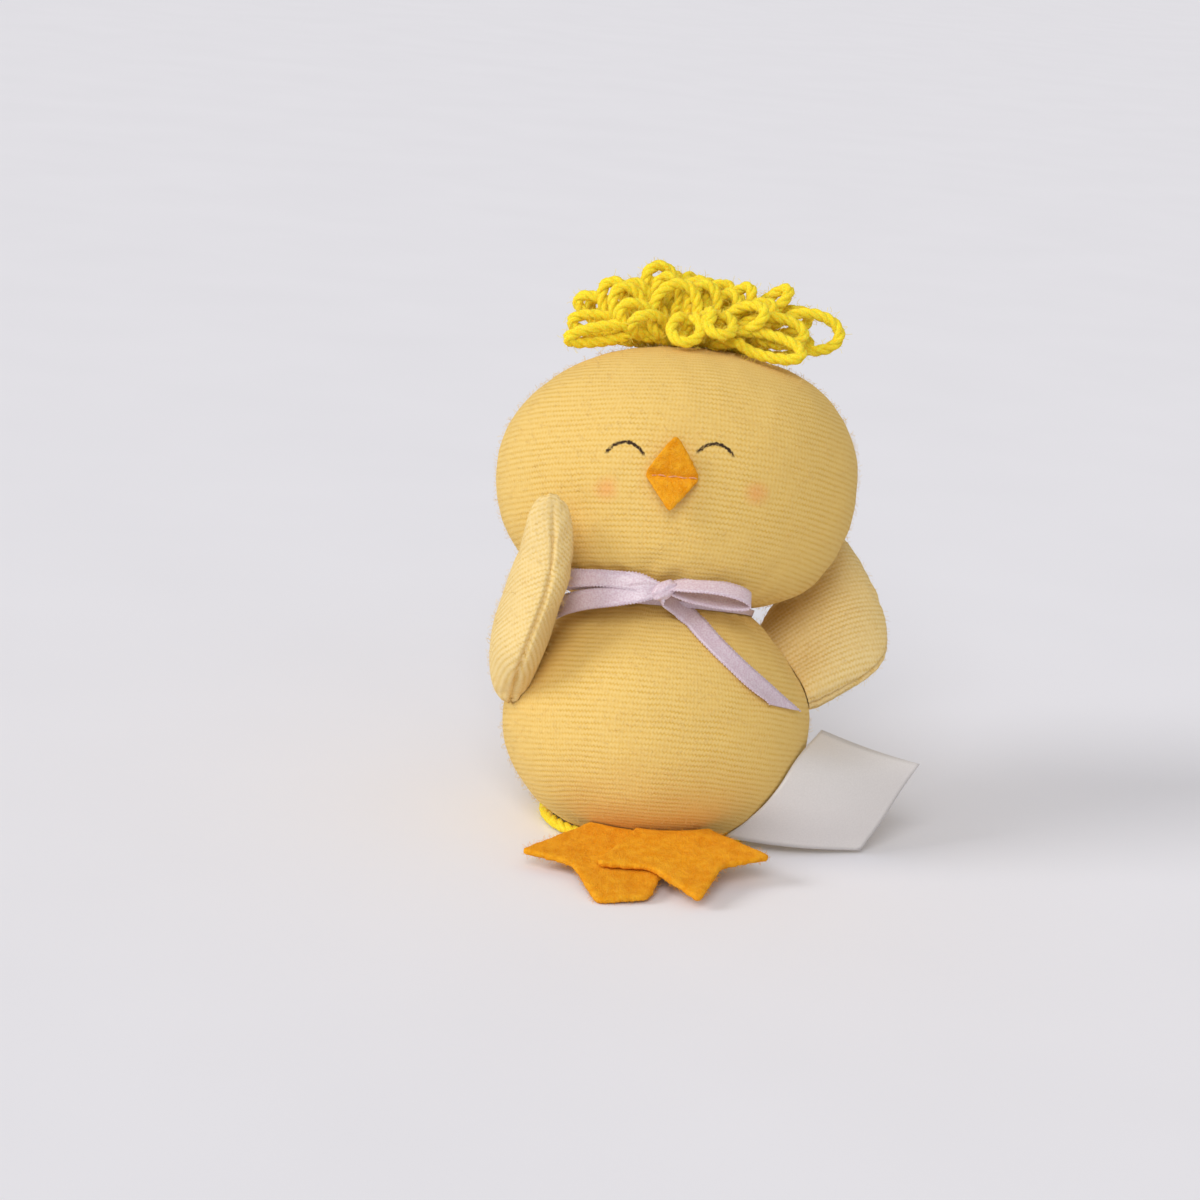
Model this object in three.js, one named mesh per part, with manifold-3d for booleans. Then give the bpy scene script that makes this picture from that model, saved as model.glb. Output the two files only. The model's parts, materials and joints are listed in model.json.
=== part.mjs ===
// A small stuffed knit chick: head and body of one knit tube drawn in at the neck, stuffed wings,
// felt beak and feet, yarn tuft and tail, a satin ribbon tied in a bow and a satin care label.
// Millimetres, +Z up. The origin is the centre of the flat seat, and the chick faces -Y.
// Left and right are the chick's own, so its left side is +X.
import * as THREE from "three";
import { mergeVertices } from "three/addons/utils/BufferGeometryUtils.js";
import Module from "manifold-3d";

// Cloth and clearances
const knitWall = 1.0;
const seamGap = 0.3;
const feltThickness = 1.1;
const weld = 1e-4;

// Body, measured from the belly's centre
const leanBack = 18;
const bellyHeight = 21;
const bellyHalfWidth = 27.2;
const bellyHalfDepth = 22.5;
const bellyDrop = 23;
const bellyFullness = 2.3;
const neckHeight = 19.6;
const neckRadius = 14.5;

// Head
const headHeight = 41.5;
const headHalfWidth = 32.1;
const headHalfDepth = 25;
const crownRise = 23.5;
const leftCrownFullness = 2.5;
const rightCrownFullness = 2.05;

// How far each joint goes either way from rest, in degrees
const sweepStep = 8;
const headTurn = [-20, 20];
const leftWingSwing = [-40, 0];
const rightWingSwing = [0, 75];
const leftFootBend = [0, 25];
const rightFootBend = [-20, 0];
const labelSwing = [0, 40];

// Neck thread and ribbon
const threadRadius = 0.35;
const threadSides = 6;
const bandSteps = 40;
const bandWidth = 1.6;
const ribbonWidth = 3.2;
const ribbonThickness = 0.35;
const ribbonStandoff = 0.5;
const knotWidth = 4.2;
const knotHeight = 3.8;
const knotDepth = 5;
const knotBite = 0.35;
const knotRise = 0.9;
const knotSteps = 12;
const bandTilt = 4;
const leftLoopReach = 14.5;
const rightLoopReach = 17;
const loopOpening = 2.2;
const loopTip = 40;
const loopSteps = 20;
const tailSteps = 9;
const tailStart = 2.5;
const leftTailEnd = new THREE.Vector2(23.4, 3.6);
const rightTailEnd = new THREE.Vector2(-18, 14);

// Wings
const wingLength = 38;
const wingHalfWidth = 11.4;
const wingHalfThickness = 4.8;
const wingWidest = 14.5;
const wingRimSharpness = 1.2;
const wingTipGrow = 1.6;
const wingRings = 14;
const wingSteps = 24;
const wingLiningSteps = 20;
const wingOpeningLength = 7;
const wingOpeningHeight = 1.4;
const wingOpeningDepth = 4;
const leftWingRoot = new THREE.Vector3(25.6, -1, 3.5);
const leftWingTurns = [-34, 8, -12];
const rightWingRoot = new THREE.Vector3(-25.6, -8.5, -1);
const rightWingTurns = [15, 7, -82];

// Beak
const beakHalfWidth = 4.75;
const beakUpper = 7.2;
const beakLower = 6.6;
const beakLift = 18;
const beakHeight = 40;
const beakOffset = -1.4;

// Feet
const footLength = 25.5;
const footHeelHalfWidth = 4.7;
const footSideToe = 19.5;
const footNotch = 16.2;
const footSideAngle = 50;
const footNotchAngle = 23;
const footSlope = 8.5;
const footTuck = 4;
const toeRounding = 2.6;
const heelDepth = 16;
const rightHeelHeight = 4.2;
const rightHeelOffset = -5.1;
const leftHeelOffset = 3.6;
const rightFootTurn = 4;
const leftFootTurn = 13;

// Yarn
const yarnRadius = 1;
const yarnSlack = 0.6;
const yarnSides = 6;
const yarnStep = 1.9;
const tuftLoopWidth = 3.6;
const tuftUneven = 1.5;
const tuftUnevenTurn = 2.4;
const tuftLoopSteps = 8;
const tuftInnerTurn = 1.3;
const tuftTiers = [
  { loops: 9, ring: 11.6, reach: 21, lean: 2, arch: 3, end: -1, start: 0 },
  { loops: 6, ring: 7.1, reach: 15, lean: 3, arch: 5, end: 6, start: -17 },
  { loops: 2, ring: 2.1, reach: 8, lean: 0, arch: 6, end: 12, start: 276 },
];
const tailRadius = 19.2;
const tailForward = 45;
const tailTuck = 1.6;
const tailLoops = 4;
const tailLoopReach = 13;
const tailLoopRise = 3;
const tailPitch = 16;
const tailSideSteps = 7;
const tailLoopNeck = { reach: 0.4, rise: 0.7, half: 1 };
const tailLoopSide = { reach: 1, rise: 1, half: 0.8 };
const tailLoopTip = { reach: 1.2, rise: 1, half: 0 };

// Label
const labelThickness = 0.4;
const labelSteps = 8;
const labelCurl = 1.6;
const labelBulge = 2.6;
const labelRootLow = new THREE.Vector3(14, -5, 3.2);
const labelRootHigh = new THREE.Vector3(27, 2, 20.5);
const labelEndLow = new THREE.Vector3(38.5, -6.5, 0.7);
const labelEndHigh = new THREE.Vector3(48, 1, 15.5);

const roundSteps = 44;
const liningSteps = 28;

const wasm = await Module();
wasm.setup();

const rad = THREE.MathUtils.degToRad;
const vec = (x, y, z) => new THREE.Vector3(x, y, z);

// Solids: a closed mesh becomes a solid for cutting, and a cut solid a mesh again.
function toSolid(geometry, matrix = new THREE.Matrix4()) {
  const bare = new THREE.BufferGeometry();
  const plain = geometry.index ? geometry.toNonIndexed() : geometry;
  bare.setAttribute("position", plain.getAttribute("position").clone());
  bare.applyMatrix4(matrix);
  const merged = mergeVertices(bare, weld);
  return new wasm.Manifold(
    new wasm.Mesh({
      numProp: 3,
      vertProperties: new Float32Array(merged.attributes.position.array),
      triVerts: new Uint32Array(merged.index.array),
    }),
  );
}

function toGeometry(solid) {
  const mesh = solid.getMesh();
  const geometry = new THREE.BufferGeometry();
  geometry.setAttribute("position", new THREE.BufferAttribute(new Float32Array(mesh.vertProperties), 3));
  geometry.setIndex(new THREE.BufferAttribute(new Uint32Array(mesh.triVerts), 1));
  return geometry;
}

const moved = (solid, matrix) => solid.transform(matrix.elements);

// The main piece of a cut solid, without crumbs.
function largest(solid) {
  return solid.decompose().sort((a, b) => b.volume() - a.volume())[0];
}

// A skin over rings of points, each ring counter-clockwise about the way the rings advance.
// A ring of one point is a closed tip, and an open end ring is closed by a fan.
function loft(rings) {
  const points = [];
  const corners = [];
  const push = (p) => points.push(p.x, p.y, p.z) / 3 - 1;
  const index = rings.map((ring) => ring.map(push));
  for (let i = 0; i + 1 < index.length; i++) {
    const low = index[i];
    const high = index[i + 1];
    const count = Math.max(low.length, high.length);
    for (let j = 0; j < count; j++) {
      const a = low[j % low.length];
      const b = low[(j + 1) % low.length];
      const c = high[(j + 1) % high.length];
      const d = high[j % high.length];
      if (a !== b) corners.push(a, b, c);
      if (c !== d) corners.push(a, c, d);
    }
  }
  const first = index[0];
  const last = index[index.length - 1];
  for (let j = 1; j + 1 < first.length; j++) corners.push(first[0], first[j + 1], first[j]);
  for (let j = 1; j + 1 < last.length; j++) corners.push(last[0], last[j], last[j + 1]);
  const geometry = new THREE.BufferGeometry();
  geometry.setAttribute("position", new THREE.Float32BufferAttribute(points, 3));
  geometry.setIndex(corners);
  return geometry;
}

function ovalRing(halfWidth, halfDepth, height, steps) {
  return Array.from({ length: steps }, (_, j) => {
    const turn = (2 * Math.PI * j) / steps;
    return vec(halfWidth * Math.cos(turn), halfDepth * Math.sin(turn), height);
  });
}

const colours = {
  knit: new THREE.MeshStandardMaterial({ color: 0xeccb84, roughness: 0.95, metalness: 0 }),
  stuffing: new THREE.MeshStandardMaterial({ color: 0xf4f1ea, roughness: 1, metalness: 0 }),
  felt: new THREE.MeshStandardMaterial({ color: 0xec9f1d, roughness: 1, metalness: 0 }),
  yarn: new THREE.MeshStandardMaterial({ color: 0xf3d74e, roughness: 0.9, metalness: 0 }),
  ribbon: new THREE.MeshStandardMaterial({ color: 0xd1bcc8, roughness: 0.4, metalness: 0 }),
  label: new THREE.MeshStandardMaterial({ color: 0xf0edea, roughness: 0.5, metalness: 0 }),
  thread: new THREE.MeshStandardMaterial({ color: 0xe3b258, roughness: 0.9, metalness: 0 }),
};

const chick = new THREE.Group();
const leaning = new THREE.Group();
leaning.position.z = bellyHeight;
leaning.rotation.x = -rad(leanBack);
leaning.updateMatrixWorld(true);
chick.add(leaning);

function addPiece(parent, name, geometry, material) {
  const mesh = new THREE.Mesh(geometry, material);
  mesh.name = name;
  parent.add(mesh);
  return mesh;
}

// A hinge line: an empty object whose own Z axis is the axis, named for its motion.
function addHinge(parent, name, place, axis) {
  const hinge = new THREE.Object3D();
  hinge.name = name;
  hinge.position.copy(place);
  hinge.quaternion.setFromUnitVectors(vec(0, 0, 1), axis.clone().normalize());
  parent.add(hinge);
}

// Half-width and half-depth of the belly above its centre; it swells from the neck like a cosine.
function bellyAt(height, grow = 0) {
  const swell = Math.cos((Math.PI / 2) * (height / neckHeight));
  const neck = neckRadius + grow;
  return {
    width: neck + (bellyHalfWidth + grow - neck) * swell,
    depth: neck + (bellyHalfDepth + grow - neck) * swell,
  };
}

// The belly, grown or shrunk by an offset, from its round bottom to the neck plane.
function bellyForm(grow, steps, neckExtra = 0) {
  const rings = [[vec(0, 0, -bellyDrop - grow)]];
  const lowerSteps = 8;
  for (let i = 1; i <= lowerSteps; i++) {
    const angle = (Math.PI / 2) * (1 - i / lowerSteps);
    const out = Math.cos(angle) ** (2 / bellyFullness);
    const down = Math.sin(angle) ** (2 / bellyFullness);
    const height = -(bellyDrop + grow) * down;
    rings.push(ovalRing((bellyHalfWidth + grow) * out, (bellyHalfDepth + grow) * out, height, steps));
  }
  const upperSteps = 7;
  for (let i = 1; i <= upperSteps; i++) {
    const height = (neckHeight * i) / upperSteps;
    const size = bellyAt(height, grow);
    rings.push(ovalRing(size.width, size.depth, height, steps));
  }
  rings[rings.length - 1].forEach((p) => (p.z -= seamGap / 2));
  if (neckExtra) rings.push(ovalRing(neckRadius + grow, neckRadius + grow, neckHeight + neckExtra, steps));
  return loft(rings);
}

// The head from the neck plane to the crown: a round chin and a full crown, fuller on its left.
function headForm(grow, steps, neckExtra = 0) {
  const neck = neckRadius + grow;
  const width = headHalfWidth + grow - neck;
  const depth = headHalfDepth + grow - neck;
  const rings = [];
  if (neckExtra) rings.push(ovalRing(neck, neck, neckHeight - neckExtra, steps));
  const chinSteps = 7;
  for (let i = 0; i <= chinSteps; i++) {
    const angle = ((Math.PI / 2) * i) / chinSteps;
    const out = Math.sin(angle);
    const height = headHeight - (headHeight - neckHeight - seamGap / 2) * Math.cos(angle);
    rings.push(ovalRing(neck + width * out, neck + depth * out, height, steps));
  }
  const crownSteps = 8;
  for (let i = 1; i < crownSteps; i++) {
    const angle = ((Math.PI / 2) * i) / crownSteps;
    const up = Math.sin(angle) ** (2 / leftCrownFullness);
    const left = (1 - up ** leftCrownFullness) ** (1 / leftCrownFullness);
    const right = (1 - up ** rightCrownFullness) ** (1 / rightCrownFullness);
    const deep = (headHalfDepth + grow) * ((left + right) / 2);
    const ring = ovalRing(headHalfWidth + grow, deep, headHeight + (crownRise + grow) * up, steps);
    ring.forEach((p) => (p.x *= p.x > 0 ? left : right));
    rings.push(ring);
  }
  rings.push([vec(0, 0, headHeight + crownRise + grow)]);
  return loft(rings);
}

// Everything below a level height, in the leaning frame, to cut the seat flat.
function below(level) {
  const size = 300;
  const place = leaning.matrixWorld.clone().invert();
  place.multiply(new THREE.Matrix4().makeTranslation(0, 0, level - size / 2));
  return toSolid(new THREE.BoxGeometry(size, size, size), place);
}

// Body: a knit cover with a flat seat, open at the neck, round its stuffing.
const bodyOuter = toSolid(bellyForm(0, roundSteps)).subtract(below(0));
const bodyHollow = toSolid(bellyForm(-knitWall, liningSteps, knitWall)).subtract(below(knitWall));
const bodyFill = toSolid(bellyForm(-knitWall - seamGap, liningSteps)).subtract(below(knitWall + seamGap));
const bodyClear = toSolid(bellyForm(seamGap, roundSteps, seamGap));
addPiece(leaning, "body_cover", toGeometry(bodyOuter.subtract(bodyHollow)), colours.knit);
addPiece(leaning, "body_stuffing", toGeometry(bodyFill), colours.stuffing);

// Head: the same cover, turned over at the crown and open at the neck.
const headOuter = toSolid(headForm(0, roundSteps));
const headHollow = toSolid(headForm(-knitWall, liningSteps, knitWall));
addPiece(leaning, "head_cover", toGeometry(headOuter.subtract(headHollow)), colours.knit);
addPiece(leaning, "head_stuffing", headForm(-knitWall - seamGap, liningSteps), colours.stuffing);

// The room that a solid takes up, seen from a piece that turns on a hinge between two angles.
function sweptRoom(solid, place, axis, [from, to]) {
  const unit = axis.clone().normalize();
  const count = Math.ceil((to - from) / sweepStep);
  const there = new THREE.Matrix4().makeTranslation(place.x, place.y, place.z);
  const back = there.clone().invert();
  let room = solid;
  for (let i = 0; i <= count; i++) {
    const angle = -rad(from + ((to - from) * i) / count);
    const turn = there.clone().multiply(new THREE.Matrix4().makeRotationAxis(unit, angle)).multiply(back);
    room = room.add(moved(solid, turn));
  }
  return room;
}

// The room that the head sweeps as it turns on the neck, with a seam's clearance round it.
const neckCentre = vec(0, 0, neckHeight);
const neckAxis = vec(0, 0, 1);
const headClear = toSolid(headForm(seamGap, roundSteps, seamGap));
const headSweep = sweptRoom(headClear, neckCentre, neckAxis, headTurn);
addHinge(leaning, "head_turn", neckCentre, neckAxis);

// The gathering thread lies in the groove under the head, clear of the body's slope.
const threadDrop = threadRadius + seamGap;
const threadRing = bellyAt(neckHeight - threadDrop).width + threadRadius + Math.SQRT2 * seamGap;
const neckThread = new THREE.TorusGeometry(threadRing, threadRadius, threadSides, bandSteps);
neckThread.translate(0, 0, neckHeight - threadDrop);
addPiece(leaning, "neck_thread", neckThread, colours.thread);

// A strip of ribbon through stations that each hold a place and a width direction.
function ribbonStrip(stations) {
  const rings = stations.map(({ at, across }, i) => {
    const before = stations[Math.max(0, i - 1)].at;
    const after = stations[Math.min(stations.length - 1, i + 1)].at;
    const along = after.clone().sub(before);
    const half = across.clone().setLength(ribbonWidth / 2);
    const thick = along.cross(across).setLength(ribbonThickness / 2);
    return [
      at.clone().sub(half).sub(thick),
      at.clone().add(half).sub(thick),
      at.clone().add(half).add(thick),
      at.clone().sub(half).add(thick),
    ];
  });
  return toSolid(loft(rings));
}

// Ribbon: a band drawn narrow in the groove of the neck, higher in front, and a bow before it.
const bandRadius = bellyAt(neckHeight - bandWidth).width + ribbonStandoff;
const bandOuter = bandRadius + ribbonThickness;
const bandTop = neckHeight - seamGap;
const bandProfile = [
  new THREE.Vector2(bandRadius, -bandWidth),
  new THREE.Vector2(bandOuter, -bandWidth),
  new THREE.Vector2(bandOuter, 0),
  new THREE.Vector2(bandRadius, 0),
  new THREE.Vector2(bandRadius, -bandWidth),
];
const band = new THREE.LatheGeometry(bandProfile, bandSteps);
band.rotateX(Math.PI / 2 - rad(bandTilt));
band.translate(0, 0, bandTop);
const knotCentre = vec(0, -bandOuter - knotDepth / 2 + knotBite, bandTop + knotRise);

// Place on the front of the belly at a sideways offset and a height, stood off from the knit.
function onBelly(x, height, standoff) {
  const size = bellyAt(height, standoff);
  const y = -size.depth * Math.sqrt(1 - (x / size.width) ** 2);
  return vec(x, y, height);
}

// A tail of the bow lies on the belly from under the knot to its cut end.
function bowTail(end) {
  const start = new THREE.Vector2(Math.sign(end.x) * tailStart, neckHeight - ribbonWidth);
  const standoff = ribbonStandoff + ribbonThickness;
  const places = Array.from({ length: tailSteps + 1 }, (_, i) => {
    const share = i / tailSteps;
    const x = start.x + (end.x - start.x) * share;
    return onBelly(x, start.y + (end.y - start.y) * share, standoff);
  });
  places.unshift(knotCentre.clone());
  const level = vec(0, 0, 1);
  const stations = places.map((at, i) => {
    const before = places[Math.max(0, i - 1)];
    const after = places[Math.min(tailSteps + 1, i + 1)];
    const along = after.clone().sub(before).normalize();
    const size = bellyAt(at.z, standoff);
    const facing = vec(at.x / size.width ** 2, at.y / size.depth ** 2, 0).normalize();
    facing.addScaledVector(level, bellySlope(at.z));
    return { at, across: along.cross(facing) };
  });
  return ribbonStrip(stations);
}

// How far the belly's face tips upwards at a height.
function bellySlope(height) {
  const step = 0.5;
  return (bellyAt(height - step).width - bellyAt(height + step).width) / (2 * step);
}

// A loop of the bow: a drop of ribbon beside the knot. Its width tips back, so both strands show.
function bowLoop(side, reach, tip) {
  const across = vec(0, -Math.sin(rad(tip)), Math.cos(rad(tip)));
  const opening = vec(0, Math.cos(rad(tip)), Math.sin(rad(tip)));
  const stations = Array.from({ length: loopSteps + 1 }, (_, i) => {
    const angle = 2 * Math.PI * (i / loopSteps);
    const out = (reach / 2) * (1 - Math.cos(angle));
    const open = loopOpening * Math.sin(angle) * Math.sin(angle / 2);
    const at = knotCentre.clone().addScaledVector(opening, open);
    at.x += side * out;
    return { at, across: across.clone().multiplyScalar(side) };
  });
  return ribbonStrip(stations);
}

const knot = new THREE.SphereGeometry(0.5, knotSteps, knotSteps);
knot.scale(knotWidth, knotDepth, knotHeight);
knot.translate(knotCentre.x, knotCentre.y, knotCentre.z);
let ribbon = toSolid(band).add(toSolid(knot));
ribbon = ribbon.add(bowTail(leftTailEnd)).add(bowTail(rightTailEnd));
ribbon = ribbon.add(bowLoop(1, leftLoopReach, -loopTip)).add(bowLoop(-1, rightLoopReach, loopTip));
ribbon = ribbon.subtract(bodyClear).subtract(headSweep);
addPiece(leaning, "neck_ribbon", toGeometry(largest(ribbon)), colours.ribbon);

// Wings: leaf-shaped pillows of two panels, pointed at the root and rounder at the tip.
// In a wing's own frame Z runs from the root's point to the tip, X from the root edge to the
// free edge, and Y through the thickness.
function wingForm(grow, steps) {
  const tip = wingTipGrow * grow;
  const rings = [[vec(0, 0, -tip)]];
  for (let i = 1; i < wingRings; i++) {
    const along = (1 - Math.cos((Math.PI * i) / wingRings)) / 2;
    const height = along * wingLength;
    const rootward = height < wingWidest;
    const away = rootward ? 1 - height / wingWidest : (height - wingWidest) / (wingLength - wingWidest);
    const width = (wingHalfWidth + grow) * Math.cos((Math.PI / 2) * away);
    const thick = (wingHalfThickness + grow) * Math.sqrt(1 - away ** (rootward ? 2 : 4));
    const ring = ovalRing(width, thick, -tip + along * (wingLength + 2 * tip), steps);
    ring.forEach((p) => (p.y = Math.sign(p.y) * thick * (Math.abs(p.y) / thick) ** wingRimSharpness));
    rings.push(ring);
  }
  rings.push([vec(0, 0, wingLength + tip)]);
  return loft(rings);
}

// A wing is sewn on along its root edge, where its stuffing went in, and cut to the body and head.
function addWing(name, place, turns, swing) {
  const wing = new THREE.Group();
  wing.position.copy(place);
  wing.rotation.set(...turns.map(rad));
  wing.updateMatrix();
  leaning.add(wing);
  const rootPoint = vec(0, 0, 0);
  const rootEdge = vec(wingHalfWidth, 0, -wingWidest);
  const near = moved(bodyClear.add(headSweep), wing.matrix.clone().invert());
  const clear = sweptRoom(near, rootPoint, rootEdge, swing);
  const rootSlant = Math.atan2(wingHalfWidth, wingWidest);
  const opening = new THREE.BoxGeometry(wingOpeningDepth, wingOpeningHeight, wingOpeningLength);
  opening.rotateY(-rootSlant);
  opening.translate(-wingHalfWidth * Math.SQRT1_2, 0, wingWidest / 2);
  const outer = toSolid(wingForm(0, wingSteps)).subtract(clear);
  const cover = outer.subtract(toSolid(wingForm(-knitWall, wingLiningSteps))).subtract(toSolid(opening));
  const fill = toSolid(wingForm(-knitWall - seamGap, wingLiningSteps)).subtract(clear);
  addPiece(wing, name + "_cover", toGeometry(largest(cover)), colours.knit);
  addPiece(wing, name + "_stuffing", toGeometry(largest(fill)), colours.stuffing);
  addHinge(wing, name + "_swing", rootPoint, rootEdge);
}
addWing("wing_left", leftWingRoot, leftWingTurns, leftWingSwing);
addWing("wing_right", rightWingRoot, rightWingTurns, rightWingSwing);

// Beak: a felt diamond creased across its middle, both flaps standing a little off the face.
function beakForm() {
  const out = Math.sin(rad(beakLift));
  const up = Math.cos(rad(beakLift));
  const side = new THREE.Shape([
    new THREE.Vector2(-beakLower * up, beakLower * out),
    new THREE.Vector2(0, 0),
    new THREE.Vector2(beakUpper * up, beakUpper * out),
    new THREE.Vector2(beakUpper * up, beakUpper * out + feltThickness / up),
    new THREE.Vector2(0, feltThickness / up),
    new THREE.Vector2(-beakLower * up, beakLower * out + feltThickness / up),
  ]);
  const bent = new THREE.ExtrudeGeometry(side, { depth: 2 * beakHalfWidth, bevelEnabled: false });
  bent.translate(0, 0, -beakHalfWidth);
  bent.applyMatrix4(new THREE.Matrix4().makeBasis(vec(0, 0, 1), vec(0, -1, 0), vec(1, 0, 0)));
  const diamond = new THREE.Shape([
    new THREE.Vector2(0, beakUpper * up),
    new THREE.Vector2(-beakHalfWidth, 0),
    new THREE.Vector2(0, -beakLower * up),
    new THREE.Vector2(beakHalfWidth, 0),
  ]);
  const depth = 2 * (beakUpper + beakLower);
  const prism = new THREE.ExtrudeGeometry(diamond, { depth, bevelEnabled: false });
  prism.translate(0, 0, -depth / 2);
  prism.rotateX(Math.PI / 2);
  return toSolid(bent).intersect(toSolid(prism));
}
const beak = new THREE.Group();
beak.position.set(beakOffset, -headHalfDepth - seamGap, beakHeight);
leaning.add(beak);
addPiece(beak, "beak", toGeometry(beakForm()), colours.felt);

// The stitch that sews the beak on lies along its crease.
const stitchLength = 2 * beakHalfWidth - 2 * feltThickness;
const stitch = new THREE.CapsuleGeometry(threadRadius, stitchLength, 3, 8).rotateZ(Math.PI / 2);
const creaseFront = feltThickness / Math.cos(rad(beakLift)) + threadRadius / Math.cos(rad(beakLift));
stitch.translate(0, -creaseFront - seamGap / 2, 0);
addPiece(beak, "beak_stitch", stitch, colours.thread);

// Feet: flat felt with three toes, tucked under the body, one lying over the other.
function footOutline() {
  const polar = (radius, degrees) =>
    new THREE.Vector2(radius * Math.sin(rad(degrees)), -radius * Math.cos(rad(degrees)));
  const corners = [
    polar(footSideToe, -footSideAngle),
    polar(footNotch, -footNotchAngle),
    polar(footLength, 0),
    polar(footNotch, footNotchAngle),
    polar(footSideToe, footSideAngle),
  ];
  const outline = new THREE.Shape();
  outline.moveTo(footHeelHalfWidth, footTuck);
  outline.lineTo(-footHeelHalfWidth, footTuck);
  let from = new THREE.Vector2(-footHeelHalfWidth, 0);
  outline.lineTo(from.x, from.y);
  corners.forEach((corner, i) => {
    const next = corners[i + 1] ?? new THREE.Vector2(footHeelHalfWidth, 0);
    const start = corner.clone().lerp(from, toeRounding / corner.distanceTo(from));
    const end = corner.clone().lerp(next, toeRounding / corner.distanceTo(next));
    outline.lineTo(start.x, start.y);
    outline.quadraticCurveTo(corner.x, corner.y, end.x, end.y);
    from = corner;
  });
  outline.lineTo(footHeelHalfWidth, 0);
  return outline;
}

const bodyClearStanding = moved(bodyClear, leaning.matrixWorld);

function addFoot(name, heelOffset, heelHeight, turnOut, hingeHeight, bend) {
  const foot = new THREE.Group();
  foot.position.set(heelOffset, -heelDepth, heelHeight);
  foot.rotation.set(rad(footSlope), 0, rad(turnOut));
  foot.updateMatrix();
  chick.add(foot);
  const options = { depth: feltThickness, bevelEnabled: false, curveSegments: 4 };
  const felt = toSolid(new THREE.ExtrudeGeometry(footOutline(), options));
  const heel = vec(0, footTuck / 2, hingeHeight);
  const heelLine = vec(-1, 0, 0);
  const near = moved(bodyClearStanding, foot.matrix.clone().invert());
  const clear = sweptRoom(near, heel, heelLine, bend);
  addPiece(foot, name, toGeometry(largest(felt.subtract(clear))), colours.felt);
  addHinge(foot, name + "_bend", heel, heelLine);
}
addFoot("foot_right", rightHeelOffset, rightHeelHeight, -rightFootTurn, 0, rightFootBend);
const leftHeelHeight = rightHeelHeight + feltThickness / Math.cos(rad(footSlope)) + seamGap;
addFoot("foot_left", leftHeelOffset, leftHeelHeight, leftFootTurn, feltThickness, leftFootBend);

// Label: a satin rectangle sewn to the side of the body, bowed a little between its two sides.
const labelEdge = labelRootLow.clone().sub(labelRootHigh);
const labelSeat = labelRootLow.clone().lerp(labelRootHigh, 0.5).add(vec(labelBulge, labelThickness / 2, 0));

function labelForm() {
  const back = vec(0, labelThickness, 0);
  const rings = Array.from({ length: labelSteps + 1 }, (_, i) => {
    const share = i / labelSteps;
    const bow = -labelCurl * Math.sin(Math.PI * share);
    const low = labelRootLow.clone().lerp(labelEndLow, share).add(vec(0, bow, 0));
    const high = labelRootHigh.clone().lerp(labelEndHigh, share).add(vec(0, bow, 0));
    return [low, low.clone().add(back), high.clone().add(back), high];
  });
  return toSolid(loft(rings)).subtract(sweptRoom(bodyClearStanding, labelSeat, labelEdge, labelSwing));
}
addPiece(chick, "care_label", toGeometry(largest(labelForm())), colours.label);
addHinge(chick, "label_swing", labelSeat, labelEdge);

// Yarn: one unbroken strand through chosen loops. The least gap between its turns is printed.
function yarnStrand(name, points) {
  const path = new THREE.CatmullRomCurve3(points, false, "centripetal");
  const length = path.getLength();
  const steps = Math.round(length / yarnStep);
  const section = new THREE.Shape();
  for (let i = 0; i < yarnSides; i++) {
    const angle = (2 * Math.PI * i) / yarnSides;
    const corner = [yarnRadius * Math.cos(angle), yarnRadius * Math.sin(angle)];
    if (i) section.lineTo(...corner);
    else section.moveTo(...corner);
  }
  const samples = path.getSpacedPoints(2 * steps);
  const apart = Math.ceil((2 * Math.PI * yarnRadius) / (length / (2 * steps)));
  let least = Infinity;
  samples.forEach((sample, i) => {
    for (const other of samples.slice(i + apart)) least = Math.min(least, sample.distanceTo(other));
  });
  console.log(name, "least gap between turns", (least - 2 * yarnRadius).toFixed(2), "mm");
  return new THREE.ExtrudeGeometry(section, { steps, extrudePath: path, bevelEnabled: false });
}

// One tier of the tuft: loops that leave a ring on the crown, arch up and fall outwards.
function tuftTier({ loops, ring, reach, lean, arch, end, start }) {
  const points = [];
  const base = headHeight + crownRise + seamGap + yarnRadius + yarnSlack;
  const legs = (Math.PI * ring) / loops / 2;
  for (let k = 0; k < loops; k++) {
    const bearing = rad(start + (360 * (k + 0.5)) / loops);
    const far = reach + lean * Math.cos(bearing) + tuftUneven * Math.sin(tuftUnevenTurn * k);
    for (let i = 0; i <= tuftLoopSteps; i++) {
      const turn = (Math.PI * i) / tuftLoopSteps;
      const out = Math.sin(turn);
      const side = -Math.cos(turn) * (legs + (tuftLoopWidth - legs) * out);
      const radius = ring + (far - ring) * out;
      const height = base + 4 * arch * out * (1 - out) + end * out * out;
      const x = radius * Math.cos(bearing) - side * Math.sin(bearing);
      const y = radius * Math.sin(bearing) + side * Math.cos(bearing);
      points.push(vec(x, y, height));
    }
    if (k + 1 < loops) {
      const between = rad(start + (360 * (k + 1)) / loops);
      const inner = ring - tuftInnerTurn;
      points.push(vec(inner * Math.cos(between), inner * Math.sin(between), base));
    }
  }
  return points;
}
const tuftPoints = tuftTiers.flatMap(tuftTier);
addPiece(leaning, "tuft_yarn", yarnStrand("tuft_yarn", tuftPoints), colours.yarn);

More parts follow.
